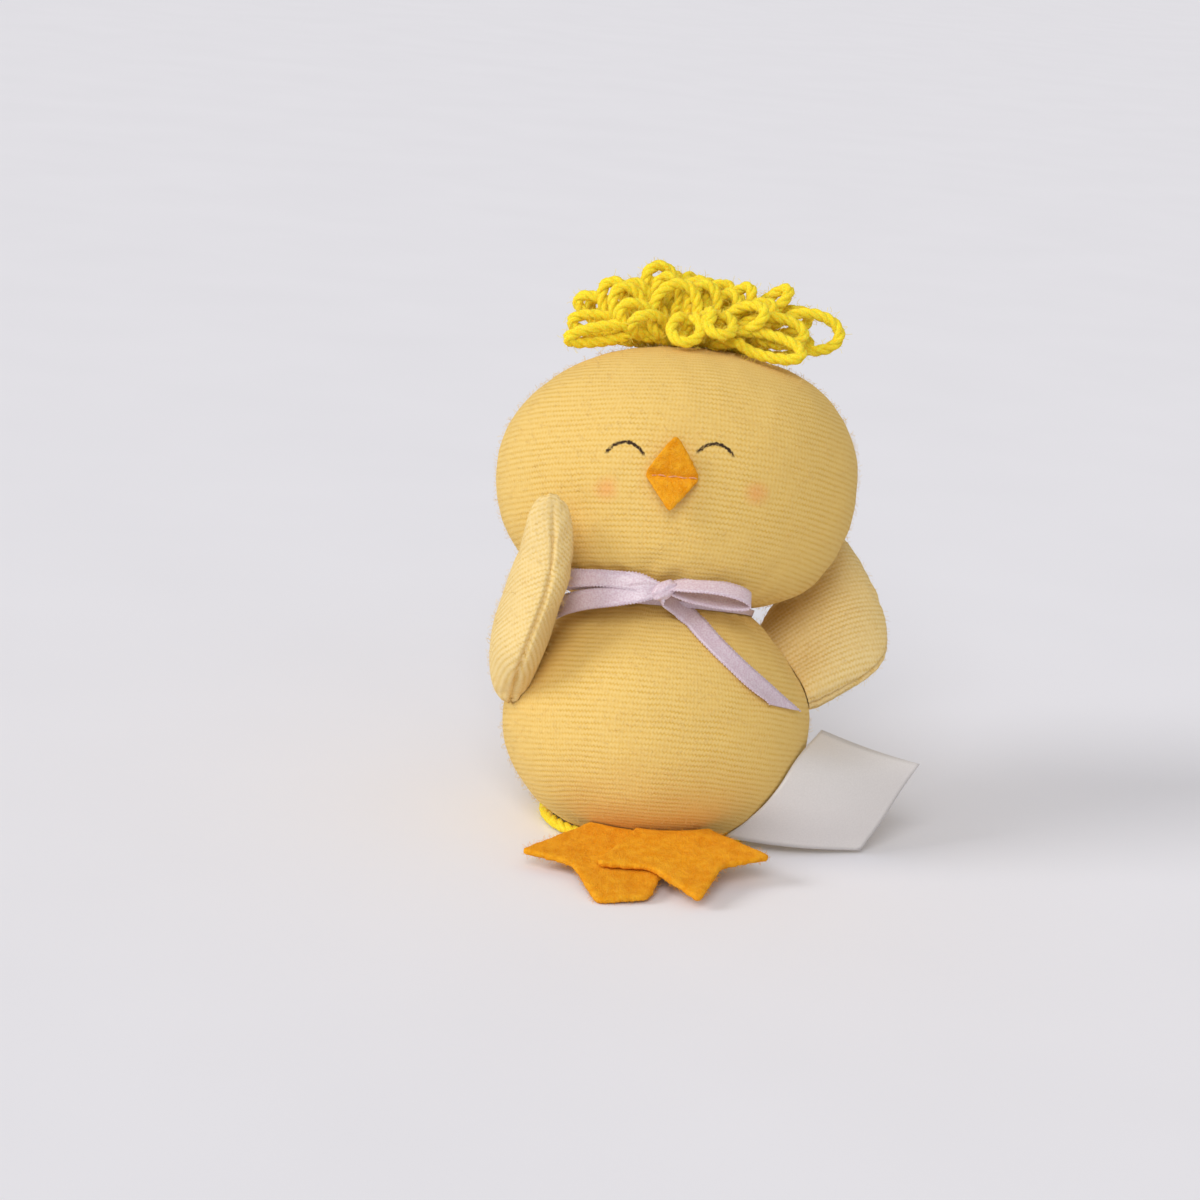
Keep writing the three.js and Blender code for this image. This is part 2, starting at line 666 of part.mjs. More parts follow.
// Tail: loops of the same yarn behind the seat. The strand's ends lie along its sides to the heels.
function tailPoints() {
  const points = [];
  const level = yarnRadius + seamGap;
  const put = (radius, bearing, height) =>
    points.push(vec(radius * Math.cos(rad(bearing)), radius * Math.sin(rad(bearing)), height));
  const behind = 90 + (tailLoops / 2) * tailPitch + tailPitch / 2;
  const sideBearing = (i) => behind + ((180 + tailForward - behind) * i) / tailSideSteps;
  const sideRadius = (i) => tailRadius - tailTuck * (Math.max(0, sideBearing(i) - 180) / tailForward) ** 2;
  for (let i = tailSideSteps; i >= 0; i--) put(sideRadius(i), sideBearing(i), level);
  for (let k = 0; k < tailLoops; k++) {
    const bearing = behind - tailPitch * (k + 1);
    const loopPoint = ({ reach, rise, half }, side) => {
      const height = level + tailLoopRise * rise;
      put(tailRadius + tailLoopReach * reach, bearing + (side * half * tailPitch) / 4, height);
    };
    loopPoint(tailLoopNeck, 1);
    loopPoint(tailLoopSide, 1);
    loopPoint(tailLoopTip, 1);
    loopPoint(tailLoopSide, -1);
    loopPoint(tailLoopNeck, -1);
    put(tailRadius, bearing - tailPitch / 2, level);
  }
  for (let i = 1; i <= tailSideSteps; i++) put(sideRadius(i), 180 - sideBearing(i), level);
  return points;
}
addPiece(chick, "tail_yarn", yarnStrand("tail_yarn", tailPoints()), colours.yarn);

export default chick;
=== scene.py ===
# %% [markdown]
# # A stuffed knit chick
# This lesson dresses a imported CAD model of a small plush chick. The CAD gives the places and the joints.
# Here each soft piece gets its real form: padded knit, felt, plied yarn, satin ribbon and a satin label.
# Lengths are in millimetres while a piece is being shaped, and in metres once it is a Blender mesh.

# %% The frame, and the sizes that the pieces share
import json
import math

import bmesh
import bpy
import numpy as np
from mathutils import Matrix, Vector
from mathutils.bvhtree import BVHTree


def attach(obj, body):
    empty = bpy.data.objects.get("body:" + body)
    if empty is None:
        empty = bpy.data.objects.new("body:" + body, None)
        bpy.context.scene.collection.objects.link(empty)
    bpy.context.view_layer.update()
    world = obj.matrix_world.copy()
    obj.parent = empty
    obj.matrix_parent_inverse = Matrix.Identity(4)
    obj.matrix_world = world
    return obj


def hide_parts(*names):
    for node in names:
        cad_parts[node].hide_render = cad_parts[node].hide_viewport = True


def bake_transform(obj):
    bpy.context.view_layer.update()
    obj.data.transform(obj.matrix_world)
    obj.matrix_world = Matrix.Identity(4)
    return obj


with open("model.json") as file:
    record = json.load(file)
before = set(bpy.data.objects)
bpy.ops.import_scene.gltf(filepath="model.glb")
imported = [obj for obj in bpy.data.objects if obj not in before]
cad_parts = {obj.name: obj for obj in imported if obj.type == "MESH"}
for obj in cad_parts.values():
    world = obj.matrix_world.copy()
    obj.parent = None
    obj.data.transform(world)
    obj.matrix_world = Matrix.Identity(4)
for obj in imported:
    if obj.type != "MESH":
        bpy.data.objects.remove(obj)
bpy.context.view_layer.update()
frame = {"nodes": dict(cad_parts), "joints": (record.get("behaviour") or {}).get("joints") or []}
scene = bpy.context.scene
MM = 0.001

lean_back = math.radians(18)
belly_height = 21
belly = dict(width=27.2, depth=22.5, drop=23, fullness=2.3)
neck_height, neck_radius = 19.6, 14.5
head = dict(height=41.5, width=32.1, depth=25, rise=23.5, left_fullness=2.5, right_fullness=2.05)
print("CAD nodes:", sorted(frame["nodes"]))

# %% [markdown]
# The chick leans back. Its head, body, ribbon, wings and tuft are shaped in a leaning frame whose origin is
# the belly's centre, and `leaned` carries such points to the frame that the CAD uses.

# %% Points and meshes
tilt = np.array(Matrix.Rotation(-lean_back, 3, "X"))


def leaned(points):
    return np.asarray(points, float) @ tilt.T + (0, 0, belly_height)


def upright(points):
    return (np.asarray(points, float) - (0, 0, belly_height)) @ tilt


def read(mesh, what):
    """What a mesh keeps for each point: "co", its place in metres, or "normal"."""
    flat = np.empty(len(mesh.vertices) * 3)
    mesh.vertices.foreach_get(what, flat)
    return flat.reshape(-1, 3)


def coords(obj):
    return read(obj.data, "co") / MM


def set_coords(obj, points):
    obj.data.vertices.foreach_set("co", (np.asarray(points) * MM).ravel())
    obj.data.update()


def normals(obj):
    return read(obj.data, "normal")


def unit(rows):
    return rows / np.linalg.norm(rows, axis=1, keepdims=True)


def eased(share):
    """From 0 to 1 with a soft start and end."""
    share = np.clip(share, 0, 1)
    return share * share * (3 - 2 * share)


def linked(name, data):
    """A new object in the scene."""
    obj = bpy.data.objects.new(name, data)
    scene.collection.objects.link(obj)
    return obj


def evaluated(obj):
    """A piece as its modifiers make it."""
    return obj.evaluated_get(bpy.context.evaluated_depsgraph_get())


def new_object(name, points, faces):
    mesh = bpy.data.meshes.new(name)
    mesh.from_pydata((np.asarray(points) * MM).tolist(), [], faces)
    mesh.polygons.foreach_set("use_smooth", [True] * len(mesh.polygons))
    return linked(name, mesh)


def modified(obj, kind, **settings):
    """Applies one modifier to a piece."""
    modifier = obj.modifiers.new(kind, kind)
    for key, value in settings.items():
        setattr(modifier, key, value)
    made = bpy.data.meshes.new_from_object(evaluated(obj))
    obj.modifiers.clear()
    old = obj.data
    obj.data = made
    bpy.data.meshes.remove(old)
    return obj


def skin(name, rings, uvs, pole_start=None, pole_end=None):
    """A closed skin over rings of points. Each ring is (count, 3), and each uv ring (count + 1, 2)."""
    rings = np.asarray(rings, float)
    count_rings, around = rings.shape[:2]
    points = rings.reshape(-1, 3).tolist()
    faces, face_uvs = [], []
    for i in range(count_rings - 1):
        for j in range(around):
            k = (j + 1) % around
            faces.append((i * around + j, i * around + k, (i + 1) * around + k, (i + 1) * around + j))
            face_uvs += [uvs[i][j], uvs[i][j + 1], uvs[i + 1][j + 1], uvs[i + 1][j]]
    for pole, ring in ((pole_start, 0), (pole_end, count_rings - 1)):
        if pole is None:
            continue
        points.append(list(pole))
        for j in range(around):
            k = (j + 1) % around
            faces.append((ring * around + j, ring * around + k, len(points) - 1))
            middle = (np.array(uvs[ring][j]) + uvs[ring][j + 1]) / 2
            face_uvs += [uvs[ring][j], uvs[ring][j + 1], middle]
    obj = new_object(name, points, faces)
    layer = obj.data.uv_layers.new(name="stitches")
    layer.data.foreach_set("uv", np.asarray(face_uvs, float).ravel())
    build = bmesh.new()
    build.from_mesh(obj.data)
    bmesh.ops.recalc_face_normals(build, faces=build.faces)
    build.to_mesh(obj.data)
    build.free()
    return obj


def lumps(points, size, seed):
    """Smooth uneven values between -1 and 1, from a few waves that run every way."""
    rng = np.random.default_rng(seed)
    total = np.zeros(len(points))
    for _ in range(9):
        wave = rng.normal(size=3)
        wave *= 2 * math.pi / (size * rng.uniform(0.7, 1.5)) / np.linalg.norm(wave)
        total += np.sin(np.asarray(points) @ wave + rng.uniform(0, 6.3))
    return total / 5


print("leaning back by", round(math.degrees(lean_back)), "degrees")

# %% [markdown]
# The camera stands where the photograph was taken from: a little above the chick, rolled a few degrees, and
# far enough away that the head and feet keep their proportions. Two wide soft lamps shine from
# the upper left, one from nearer the front than the other.

# %% Camera, lamps and floor
PIXELS, pixels_per_mm = 1200, 5.6
elevation, roll, distance = math.radians(16), math.radians(5.2), 480
target = leaned([(-11.7, 0, 19)])[0]
back = np.array((0, -math.cos(elevation), math.sin(elevation)))
camera = linked("camera", bpy.data.cameras.new("camera"))
camera.data.sensor_width = 36
camera.data.lens = camera.data.sensor_width / 2 / ((PIXELS / 2) / pixels_per_mm / distance)
camera.data.clip_start, camera.data.clip_end = 0.01, 20
looking = Vector(-back).to_track_quat("-Z", "Y").to_matrix() @ Matrix.Rotation(roll, 3, "Z")
camera.matrix_world = Matrix.Translation(Vector(target + back * distance) * MM) @ looking.to_4x4()
scene.camera = camera
eye = np.array(camera.matrix_world.translation) / MM


def pixel_ray(x, y):
    """The direction in which the camera sees a pixel of the photograph."""
    half = camera.data.sensor_width / 2 / camera.data.lens
    sideways, up = (x - PIXELS / 2) / (PIXELS / 2) * half, (PIXELS / 2 - y) / (PIXELS / 2) * half
    ray = looking @ Vector((sideways, up, -1))
    return np.array(ray.normalized())


def lamp(name, place, spread, strength):
    """A far, wide lamp, so that the whole floor is lit alike."""
    light = linked(name, bpy.data.lights.new(name, "SUN"))
    light.data.angle, light.data.energy = math.radians(spread), strength
    light.location = place
    light.rotation_euler = (-Vector(place)).to_track_quat("-Z", "Y").to_euler()


lamp("key_lamp", (-0.14, -0.76, 0.64), 30, 1.2)
lamp("side_lamp", (-0.84, -0.28, 0.50), 24, 1.3)
scene.world = bpy.data.worlds.new("studio")
scene.world.use_nodes = True
scene.world.node_tree.nodes["Background"].inputs["Color"].default_value = (1, 0.985, 0.97, 1)
scene.world.node_tree.nodes["Background"].inputs["Strength"].default_value = 0.45
scene.view_settings.view_transform = "Standard"
floor_half = 6000
floor_corners = [(x * floor_half, y * floor_half, 0) for x, y in ((-1, -1), (1, -1), (1, 1), (-1, 1))]
floor = new_object("floor", floor_corners, [(0, 1, 2, 3)])
print("lens", round(camera.data.lens, 1), "mm, camera at", [round(c) for c in eye], "mm")

# %% [markdown]
# Colours are written as they look on a screen and turned to the renderer's linear light by one function.
# `add_node` adds any node, to a material or to a tree of geometry. `Shader` holds one material, and a call of
# it adds a node to that, so that each material reads from top to bottom.

# %% Colours and a short way to write materials


def linear(code):
    """A screen colour such as "#e8c678" in linear light, with full alpha."""
    parts = [int(code[i : i + 2], 16) / 255 for i in (1, 3, 5)]
    return [part / 12.92 if part <= 0.04045 else ((part + 0.055) / 1.055) ** 2.4 for part in parts] + [1]


def fill(tree, socket, value):
    """Gives a socket a value, or a link from another node."""
    if hasattr(value, "is_output"):
        tree.links.new(value, socket)
    else:
        socket.default_value = value


def add_node(tree, kind, inputs=None, **settings):
    """Adds a node to a tree, with its settings and with what its sockets hold."""
    made = tree.nodes.new(kind)
    for key, value in settings.items():
        setattr(made, key, value)
    for key, value in (inputs or {}).items():
        fill(tree, made.inputs[key], value)
    return made


# How a node of each kind is set, the sockets that its values fill in turn, and the output that it gives.
KINDS = {
    "Mix": (dict(data_type="RGBA"), (0, 6, 7), 2),
    "MapRange": (dict(interpolation_type="SMOOTHSTEP"), ("Value", "From Min", "From Max"), "Result"),
    "TexNoise": ({}, ("Vector", "Scale", "Detail"), "Fac"),
    "TexWhiteNoise": (dict(noise_dimensions="2D"), ("Vector",), "Value"),
    "TexCoord": ({}, (), "Object"),
    "UVMap": (dict(uv_map="stitches"), (), "UV"),
    "SeparateXYZ": ({}, ("Vector",), slice(0, 3)),
    "CombineXYZ": ({}, ("X", "Y"), "Vector"),
    "Bump": ({}, ("Height", "Distance", "Strength"), "Normal"),
}


class Shader:
    def __init__(self, name, **sockets):
        self.material = bpy.data.materials.new(name)
        self.material.use_nodes = True
        self.tree = self.material.node_tree
        for key, value in sockets.items():
            self.takes(key.replace("_", " "), value)

    def __call__(self, kind, *values):
        """Adds a node and returns its output. A kind that isn't listed is what a Math node does."""
        settings, sockets, output = KINDS.get(kind, (dict(operation=kind), (0, 1, 2), 0))
        full_kind = "ShaderNode" + (kind if kind in KINDS else "Math")
        return add_node(self.tree, full_kind, dict(zip(sockets, values)), **settings).outputs[output]

    def takes(self, socket, value):
        """Gives the surface itself a value or a link."""
        fill(self.tree, self.tree.nodes["Principled BSDF"].inputs[socket], value)


def patches(size):
    """The scale of noise whose patches are about size millimetres across."""
    return 1 / (size * MM)


# Matt paper: an even, pale ground with no shine.
paper = Shader("pale_paper", Roughness=0.9)
cloudy = paper("TexNoise", paper("TexCoord"), patches(60))
paper.takes("Base Color", paper("Mix", cloudy, linear("#ebeaf0"), linear("#f0eff5")))
floor.data.materials.append(paper.material)
print("floor material:", paper.material.name)

# %% [markdown]
# The head and body are one knit tube drawn in at the neck. Each is a skin over oval rings whose profile the
# CAD shares. Its map counts stitches: every ring has the same number of wales, so they crowd together at the
# neck as real ones do.

# %% Padded knit: a skin that counts stitches
around = 112
turns = np.arange(around + 1) / around * 2 * math.pi
wales, course = 262, 0.97
# Radius of each ring that closes a cover inside the neck, with its distance from the neck, and the pole's.
gathers, gather_pole = ((7, 3), (11.5, 1.2)), 3.4
neck_gap, slack = 0.15, 0.5
crown = head["height"] + head["rise"]


def knit_skin(name, profile, arch, pole_start, pole_end):
    """profile holds left half-width, half-depth, height and right half-width. arch bends the courses."""
    rows = np.asarray(profile, float)
    steps = np.hypot(np.diff(rows[:, :2].mean(1)), np.diff(rows[:, 2]))
    along = np.concatenate([[0], np.cumsum(steps)]) / course
    ring = turns[:-1]
    wide = np.where(np.sin(ring) > 0, rows[:, :1], rows[:, 3:])
    rings = []
    for half_widths, (_, half_depth, height, _) in zip(wide, rows):
        oval = [half_widths * np.sin(ring), half_depth * np.cos(ring), np.full(around, height)]
        rings.append(np.stack(oval, 1))
    bend = arch * np.sin(turns) ** 2 / course
    uvs = [np.stack([turns / (2 * math.pi) * wales, v + bend], 1) for v in along]
    return skin(name, rings, uvs, (0, 0, pole_start), (0, 0, pole_end))


def head_profile(grow):
    neck, width, depth = neck_radius + grow, head["width"] + grow, head["depth"] + grow
    rows = [(radius, radius, neck_height + away, radius) for radius, away in gathers]
    for angle in np.linspace(0.05, math.pi / 2, 24):
        out, drop = math.sin(angle), (head["height"] - neck_height - neck_gap) * math.cos(angle)
        side = neck + (width - neck) * out
        rows.append((side, neck + (depth - neck) * out, head["height"] - drop, side))
    both = head["left_fullness"], head["right_fullness"]
    for angle in np.linspace(0, math.pi / 2, 28)[1:-1]:
        up = math.sin(angle) ** (2 / head["left_fullness"])
        left, right = ((1 - up**fullness) ** (1 / fullness) for fullness in both)
        height = head["height"] + (head["rise"] + grow) * up
        rows.append((width * left, depth * (left + right) / 2, height, width * right))
    return rows


def belly_size(height, grow):
    """Half-width and half-depth of the belly between its centre and the neck."""
    swell, neck = math.cos(math.pi / 2 * height / neck_height), neck_radius + grow
    return neck + (belly["width"] + grow - neck) * swell, neck + (belly["depth"] + grow - neck) * swell


def body_profile(grow):
    rows, power = [], 2 / belly["fullness"]
    for angle in np.linspace(math.pi / 2, 0, 28)[1:]:
        out, down = math.cos(angle) ** power, math.sin(angle) ** power
        side = (belly["width"] + grow) * out
        rows.append((side, (belly["depth"] + grow) * out, -(belly["drop"] + grow) * down, side))
    for height in np.linspace(0, neck_height - neck_gap, 22)[1:]:
        side, deep = belly_size(height, grow)
        rows.append((side, deep, height, side))
    return rows + [(radius, radius, neck_height - away, radius) for radius, away in reversed(gathers)]


print("profiles of", len(head_profile(0)), "rings for the head and", len(body_profile(0)), "for the body")

# %% [markdown]
# Stuffing presses a cover outward while its seam holds, and cloth under pressure does the same. So each cover
# starts a little smaller than it should be and is blown up, still sewn at the neck. Gathers at the neck and
# the stuffing's unevenness are then added along the surface's normals.

# %% Padded knit: the head and the body


def puff(obj, sewn, cap, loose=0.02):
    """Blows a cover up with cloth. It is simulated larger than it is, as cloth is steadier at that size."""
    larger, frames = 10, 20
    start = coords(obj)
    set_coords(obj, start * larger)
    obj.vertex_groups.new(name="sewn").add(np.nonzero(sewn)[0].tolist(), 1.0, "REPLACE")
    cloth = obj.modifiers.new("cloth", "CLOTH")
    cloth.settings.quality = 6
    cloth.settings.use_pressure = True
    cloth.settings.uniform_pressure_force = 4.0
    cloth.settings.shrink_min = -loose
    cloth.settings.bending_stiffness = 0.3
    cloth.settings.vertex_group_mass = "sewn"
    cloth.settings.effector_weights.gravity = 0
    for number in range(1, frames + 1):
        scene.frame_set(number)
    move = read(evaluated(obj).to_mesh(), "co") / MM / larger - start
    far = np.linalg.norm(move, axis=1, keepdims=True)
    move *= np.minimum(1, cap / np.maximum(far, 1e-9))
    obj.modifiers.clear()
    obj.vertex_groups.clear()
    set_coords(obj, start + move)
    scene.frame_set(1)
    print(obj.name, "swelled by", round(float(far.mean()), 2), "mm, at most", round(float(far.max()), 2))


def pleated(points, outward, count, depth, reach, seed):
    """Soft gathers that fade away from the neck."""
    turn = np.arctan2(points[:, 0], points[:, 1])
    rng = np.random.default_rng(seed)
    bend = 1.3 * np.sin(3 * turn + rng.uniform(0, 6)) + 0.8 * np.sin(7 * turn + rng.uniform(0, 6))
    fade = np.exp(-np.abs(points[:, 2] - neck_height) / reach)
    strength = depth * fade * (0.65 + 0.35 * np.sin(5 * turn + rng.uniform(0, 6)))
    return points + outward * (strength * np.sin(count * turn + bend))[:, None]


def padded_knit(name, profile, arch, poles, seed):
    sewn_half, sewn_radius = 3.6, neck_radius + 0.8
    hidden_half, hidden_radius = 4, 12
    obj = knit_skin(name, profile, arch, *poles)
    height, radius = coords(obj)[:, 2], np.hypot(*coords(obj)[:, :2].T)
    sewn = (np.abs(height - neck_height) < sewn_half) & (radius < sewn_radius)
    puff(obj, sewn, cap=0.9)
    modified(obj, "SUBSURF", levels=1)
    points, outward = coords(obj), normals(obj)
    radius = np.hypot(points[:, 0], points[:, 1])
    inside = (radius < hidden_radius) & (np.abs(points[:, 2] - neck_height) < hidden_half)
    shaped = pleated(points, outward, count=26, depth=0.22, reach=4.0, seed=seed)
    shaped += outward * (0.35 * lumps(points, 19, seed) + 0.08 * lumps(points, 5, seed + 1))[:, None]
    set_coords(obj, leaned(np.where(inside[:, None], points, shaped)))
    return obj


head_poles = (neck_height + gather_pole, crown - slack)
body_poles = (-belly["drop"] + slack, neck_height - gather_pole)
head_knit = padded_knit("head_knit", head_profile(-slack), 2.4, head_poles, 3)
body_knit = padded_knit("body_knit", body_profile(-slack), 1.2, body_poles, 5)
# The seat flattens where it rests: below seat_start the knit eases down to a small gap from the floor.
seat_start, floor_gap = 1, 0.25
seat, ease = coords(body_knit), seat_start - floor_gap
settled = floor_gap + ease * np.exp(np.minimum(seat[:, 2] - seat_start, 0) / ease)
seat[:, 2] = np.where(seat[:, 2] < seat_start, settled, seat[:, 2])
set_coords(body_knit, seat)
for obj, body in ((head_knit, "head"), (body_knit, "body")):
    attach(obj, body)
    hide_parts(body + "_cover", body + "_stuffing")
    print(obj.name, len(obj.data.polygons), "faces")

# %% [markdown]
# Soft pieces press against each other but should not enter each other, at rest or at a joint's limits. A
# search tree of the body, and of the head as far as its joint turns, tells where another piece is too near,
# and that piece is moved aside. A sewn piece is tried bent from the chick to its body at its joint's limits.

# %% Keeping soft pieces clear of each other


def joint_of(body):
    return next(joint for joint in frame["joints"] if joint["child"] == body)


def search_tree(obj):
    return BVHTree.FromObject(obj, bpy.context.evaluated_depsgraph_get())


def turned_head(degrees):
    """The head's surface after a twist on the neck, so that other pieces can be kept clear of it."""
    spin = np.array(Matrix.Rotation(math.radians(degrees), 3, "Z"))
    points = leaned(upright(coords(head_knit)) @ spin.T) * MM
    return BVHTree.FromPolygons(points.tolist(), [tuple(face.vertices) for face in head_knit.data.polygons])


body_tree = search_tree(body_knit)
low_turn, high_turn = joint_of("head")["range_deg"]
head_turns = (0, low_turn, low_turn / 2, high_turn / 2, high_turn)
head_trees = [turned_head(degrees) for degrees in head_turns]
# Where each sewn piece starts to bend and where it has turned fully, in metres.
bends = {}
print("head tried at", head_turns, "degrees")


def kept_clear(points, trees, gap):
    """Moves points that lie in or too near other pieces out to a small gap from them."""
    points, search = np.array(points, float), 0.015
    for tree in trees:
        for i, point in enumerate(points):
            near, outward, _, _ = tree.find_nearest(Vector(point * MM), search)
            if near is not None:
                depth = (Vector(point * MM) - near).dot(outward) / MM
                if depth < gap:
                    points[i] = np.array(near) / MM + np.array(outward) * gap
    return points


def eased_clear(points, trees, gap, spread):
    """As kept_clear, but the stuffing moves along: each push is shared with the points round it."""
    rounds, least_push, every = 4, 0.02, 4
    for _ in range(rounds):
        push = kept_clear(points, trees, gap) - points
        pushed = np.flatnonzero(np.linalg.norm(push, axis=1) > least_push)[::every]
        if len(pushed):
            near = points[pushed]
            apart = (points**2).sum(1)[:, None] + (near**2).sum(1) - 2 * points @ near.T
            share = np.exp(-apart / (2 * spread**2))
            mean_push = share @ push[pushed] / np.maximum(share.sum(1), 1e-9)[:, None]
            points = points + mean_push * share.max(1)[:, None]
    return kept_clear(points, trees, gap)


def carry(piece, body):
    """Lets a piece ride on a body or, where it is sewn to the chick, bakes its place into its mesh and leaves
    it there.
    """
    if body in bends:
        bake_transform(piece)
    else:
        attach(piece, body)


def turned_about(points, axis, through, angles):
    """Points turned about a line, each by its own angle."""
    arm = points - through
    cosine, sine = np.cos(angles)[:, None], np.sin(angles)[:, None]
    return through + arm * cosine + np.cross(axis, arm) * sine + np.outer(arm @ axis, axis) * (1 - cosine)


def room_to_move(points, name, gap):
    """Keeps a piece that bends clear of the body at both limits of its joint: each is tried and undone."""
    joint = joint_of(name)
    axis, through = np.array(joint["axis"]), np.array(joint["pos_m"]) / MM
    start, end = bends[name] / MM
    share = eased((points - start) @ (end - start) / ((end - start) @ (end - start)))
    for limit in joint["range_deg"]:
        angles = share * math.radians(limit)
        points = kept_clear(turned_about(points, axis, through, angles), (body_tree,), gap)
        points = turned_about(points, axis, through, -angles)
    return points


# %% [markdown]
# A drawn eye or a patch of blush has no thickness, so it belongs to the knit's material. A pixel of the
# photograph gives a ray from the camera, and the ray meets the head where the ink lies.

# %% Where the eyes and the blush lie


def on_mesh(obj, pixels):
    tree = search_tree(obj)
    hits = [tree.ray_cast(Vector(eye * MM), Vector(pixel_ray(*pixel)))[0] for pixel in pixels]
    return upright(np.array(hits) / MM)


def circle_through(points):
    """Centre and radius of the circle through three points, seen from the front."""
    (ax, az), (bx, bz), (cx, cz) = points[:, [0, 2]]
    rows = np.array([[bx - ax, bz - az], [cx - ax, cz - az]]) * 2
    right = np.array([bx**2 - ax**2 + bz**2 - az**2, cx**2 - ax**2 + cz**2 - az**2])
    centre = np.linalg.solve(rows, right)
    return centre, math.hypot(ax - centre[0], az - centre[1])


eye_pixels = ([(607, 452), (625, 442), (644, 457)], [(696, 456), (713, 444), (732, 454)])
arcs = []
for pixels in eye_pixels:
    found = on_mesh(head_knit, pixels)
    centre, radius = circle_through(found)
    arcs.append((centre, radius, float(found[[0, 2], 2].mean() - centre[1])))
    print("eye arc at", centre.round(1), "radius", round(radius, 1), "mm")
blush_size, blush_pixels = 3.6, [(606, 489), (756, 493)]
cheeks = [((x, z), blush_size) for x, _, z in on_mesh(head_knit, blush_pixels)]

# %% [markdown]
# Knit shows rows of small slanted legs. They are far too many to model, so the material draws them from the
# map that counts stitches, as relief and as colour: a painted highlight on the ridges and painted shade in
# the furrows. The face's ink and blush are mixed in on the head alone.

# %% The knit's material


def knit_relief(knit, place):
    """Rows of stitches, each of two slanted legs and a little deeper or flatter by chance."""
    across, along = knit("SeparateXYZ", knit("UVMap"))[:2]
    along = knit("MULTIPLY_ADD", knit("TexNoise", place, patches(7)), 0.7, along)
    slanted_leg = knit("MULTIPLY_ADD", knit("PINGPONG", across, 0.5), 0.55, along)
    stitch = knit("CombineXYZ", knit("FLOOR", across), knit("FLOOR", along))
    chance = knit("TexWhiteNoise", stitch)
    patchy = knit("MapRange", knit("TexNoise", place, patches(9)), 0.35, 0.65)
    depth = knit("MULTIPLY_ADD", chance, 0.28, knit("MULTIPLY_ADD", patchy, 0.25, 0.1))
    wave = knit("MULTIPLY_ADD", knit("SINE", knit("MULTIPLY", slanted_leg, 2 * math.pi)), 0.5, 0.5)
    wide = knit("SUBTRACT", knit("POWER", wave, 0.45), 0.65)
    ridge = knit("MULTIPLY_ADD", wide, knit("MULTIPLY", depth, 2), 0.5)
    column = knit("MULTIPLY_ADD", knit("SINE", knit("MULTIPLY", across, 2 * math.pi)), 0.5, 0.5)
    fibre = knit("TexNoise", place, patches(0.45), 4)
    height = knit("MULTIPLY_ADD", column, 0.22, knit("MULTIPLY_ADD", fibre, 0.9, ridge))
    return height, chance, fibre


def drawn_face(knit, place, colour, chance, fibre, arcs, cheeks):
    """Blush, and eyes in ink that the stitches have taken unevenly, on the front of the head only."""
    x, y, z = knit("SeparateXYZ", place)
    raised = knit("SUBTRACT", z, belly_height * MM)
    cosine, sine = math.cos(lean_back), math.sin(lean_back)
    face_z = knit("MULTIPLY_ADD", raised, cosine, knit("MULTIPLY", y, sine))
    face_y = knit("MULTIPLY_ADD", y, cosine, knit("MULTIPLY", raised, -sine))
    front = knit("MapRange", face_y, 0, -5 * MM)

    def away(centre):
        side = knit("SUBTRACT", x, centre[0] * MM)
        rise = knit("SUBTRACT", face_z, centre[1] * MM)
        return knit("SQRT", knit("ADD", knit("POWER", side, 2), knit("POWER", rise, 2))), rise

    for centre, size in cheeks:
        far, _ = away(centre)
        soft = knit("MULTIPLY_ADD", knit("TexNoise", place, patches(2.5)), 1.2 * MM, far)
        glow = knit("MULTIPLY", knit("MapRange", soft, size * MM, 0.2 * size * MM), front)
        colour = knit("Mix", knit("MULTIPLY", glow, 0.5), colour, linear("#ea9a5c"))
    for centre, radius, low in arcs:
        far, rise = away(centre)
        ragged = knit("MULTIPLY_ADD", fibre, 0.8 * MM, knit("ABSOLUTE", knit("SUBTRACT", far, radius * MM)))
        ink = knit("MapRange", ragged, 0.83 * MM, 0.56 * MM)
        ink = knit("MULTIPLY", ink, knit("MapRange", rise, (low - 0.3) * MM, (low + 0.5) * MM))
        taken = knit("MapRange", knit("MULTIPLY_ADD", chance, 0.4, fibre), 0.3, 0.62)
        ink = knit("MULTIPLY", knit("MULTIPLY", ink, front), taken)
        colour = knit("Mix", ink, colour, linear("#3b2c22"))
    return colour


def knit_material(name, arcs=(), cheeks=(), tones=("#daae4e", "#eaca80", "#dfb354")):
    # Cotton jersey, machine knit: matt and soft, with a glow at its rim. Its ridges are painted paler as a
    # highlight and its furrows painted darker as their shade.
    # Its fibres are too fine to show, so they are drawn some twenty times as coarse.
    deep, light, worn = (linear(tone) for tone in tones)
    knit = Shader(name, Roughness=0.95, Sheen_Weight=0.22, Sheen_Roughness=0.45, Specular_IOR_Level=0.15)
    knit.takes("Sheen Tint", linear("#ffe6a8"))
    place = knit("TexCoord")
    height, chance, fibre = knit_relief(knit, place)
    # Painted light: the ridges are painted paler as a highlight and the furrows darker as their shade.
    colour = knit("Mix", knit("MapRange", height, 0.2, 1.6), deep, light)
    colour = knit("Mix", knit("MULTIPLY", knit("TexNoise", place, patches(24)), 0.25), colour, worn)
    if arcs:
        colour = drawn_face(knit, place, colour, chance, fibre, arcs, cheeks)
    knit.takes("Base Color", colour)
    knit.takes("Normal", knit("Bump", height, 0.12 * MM, 0.6))
    return knit.material


face_knit = knit_material("knit_with_face", arcs, cheeks)
plain_knit = knit_material("knit")
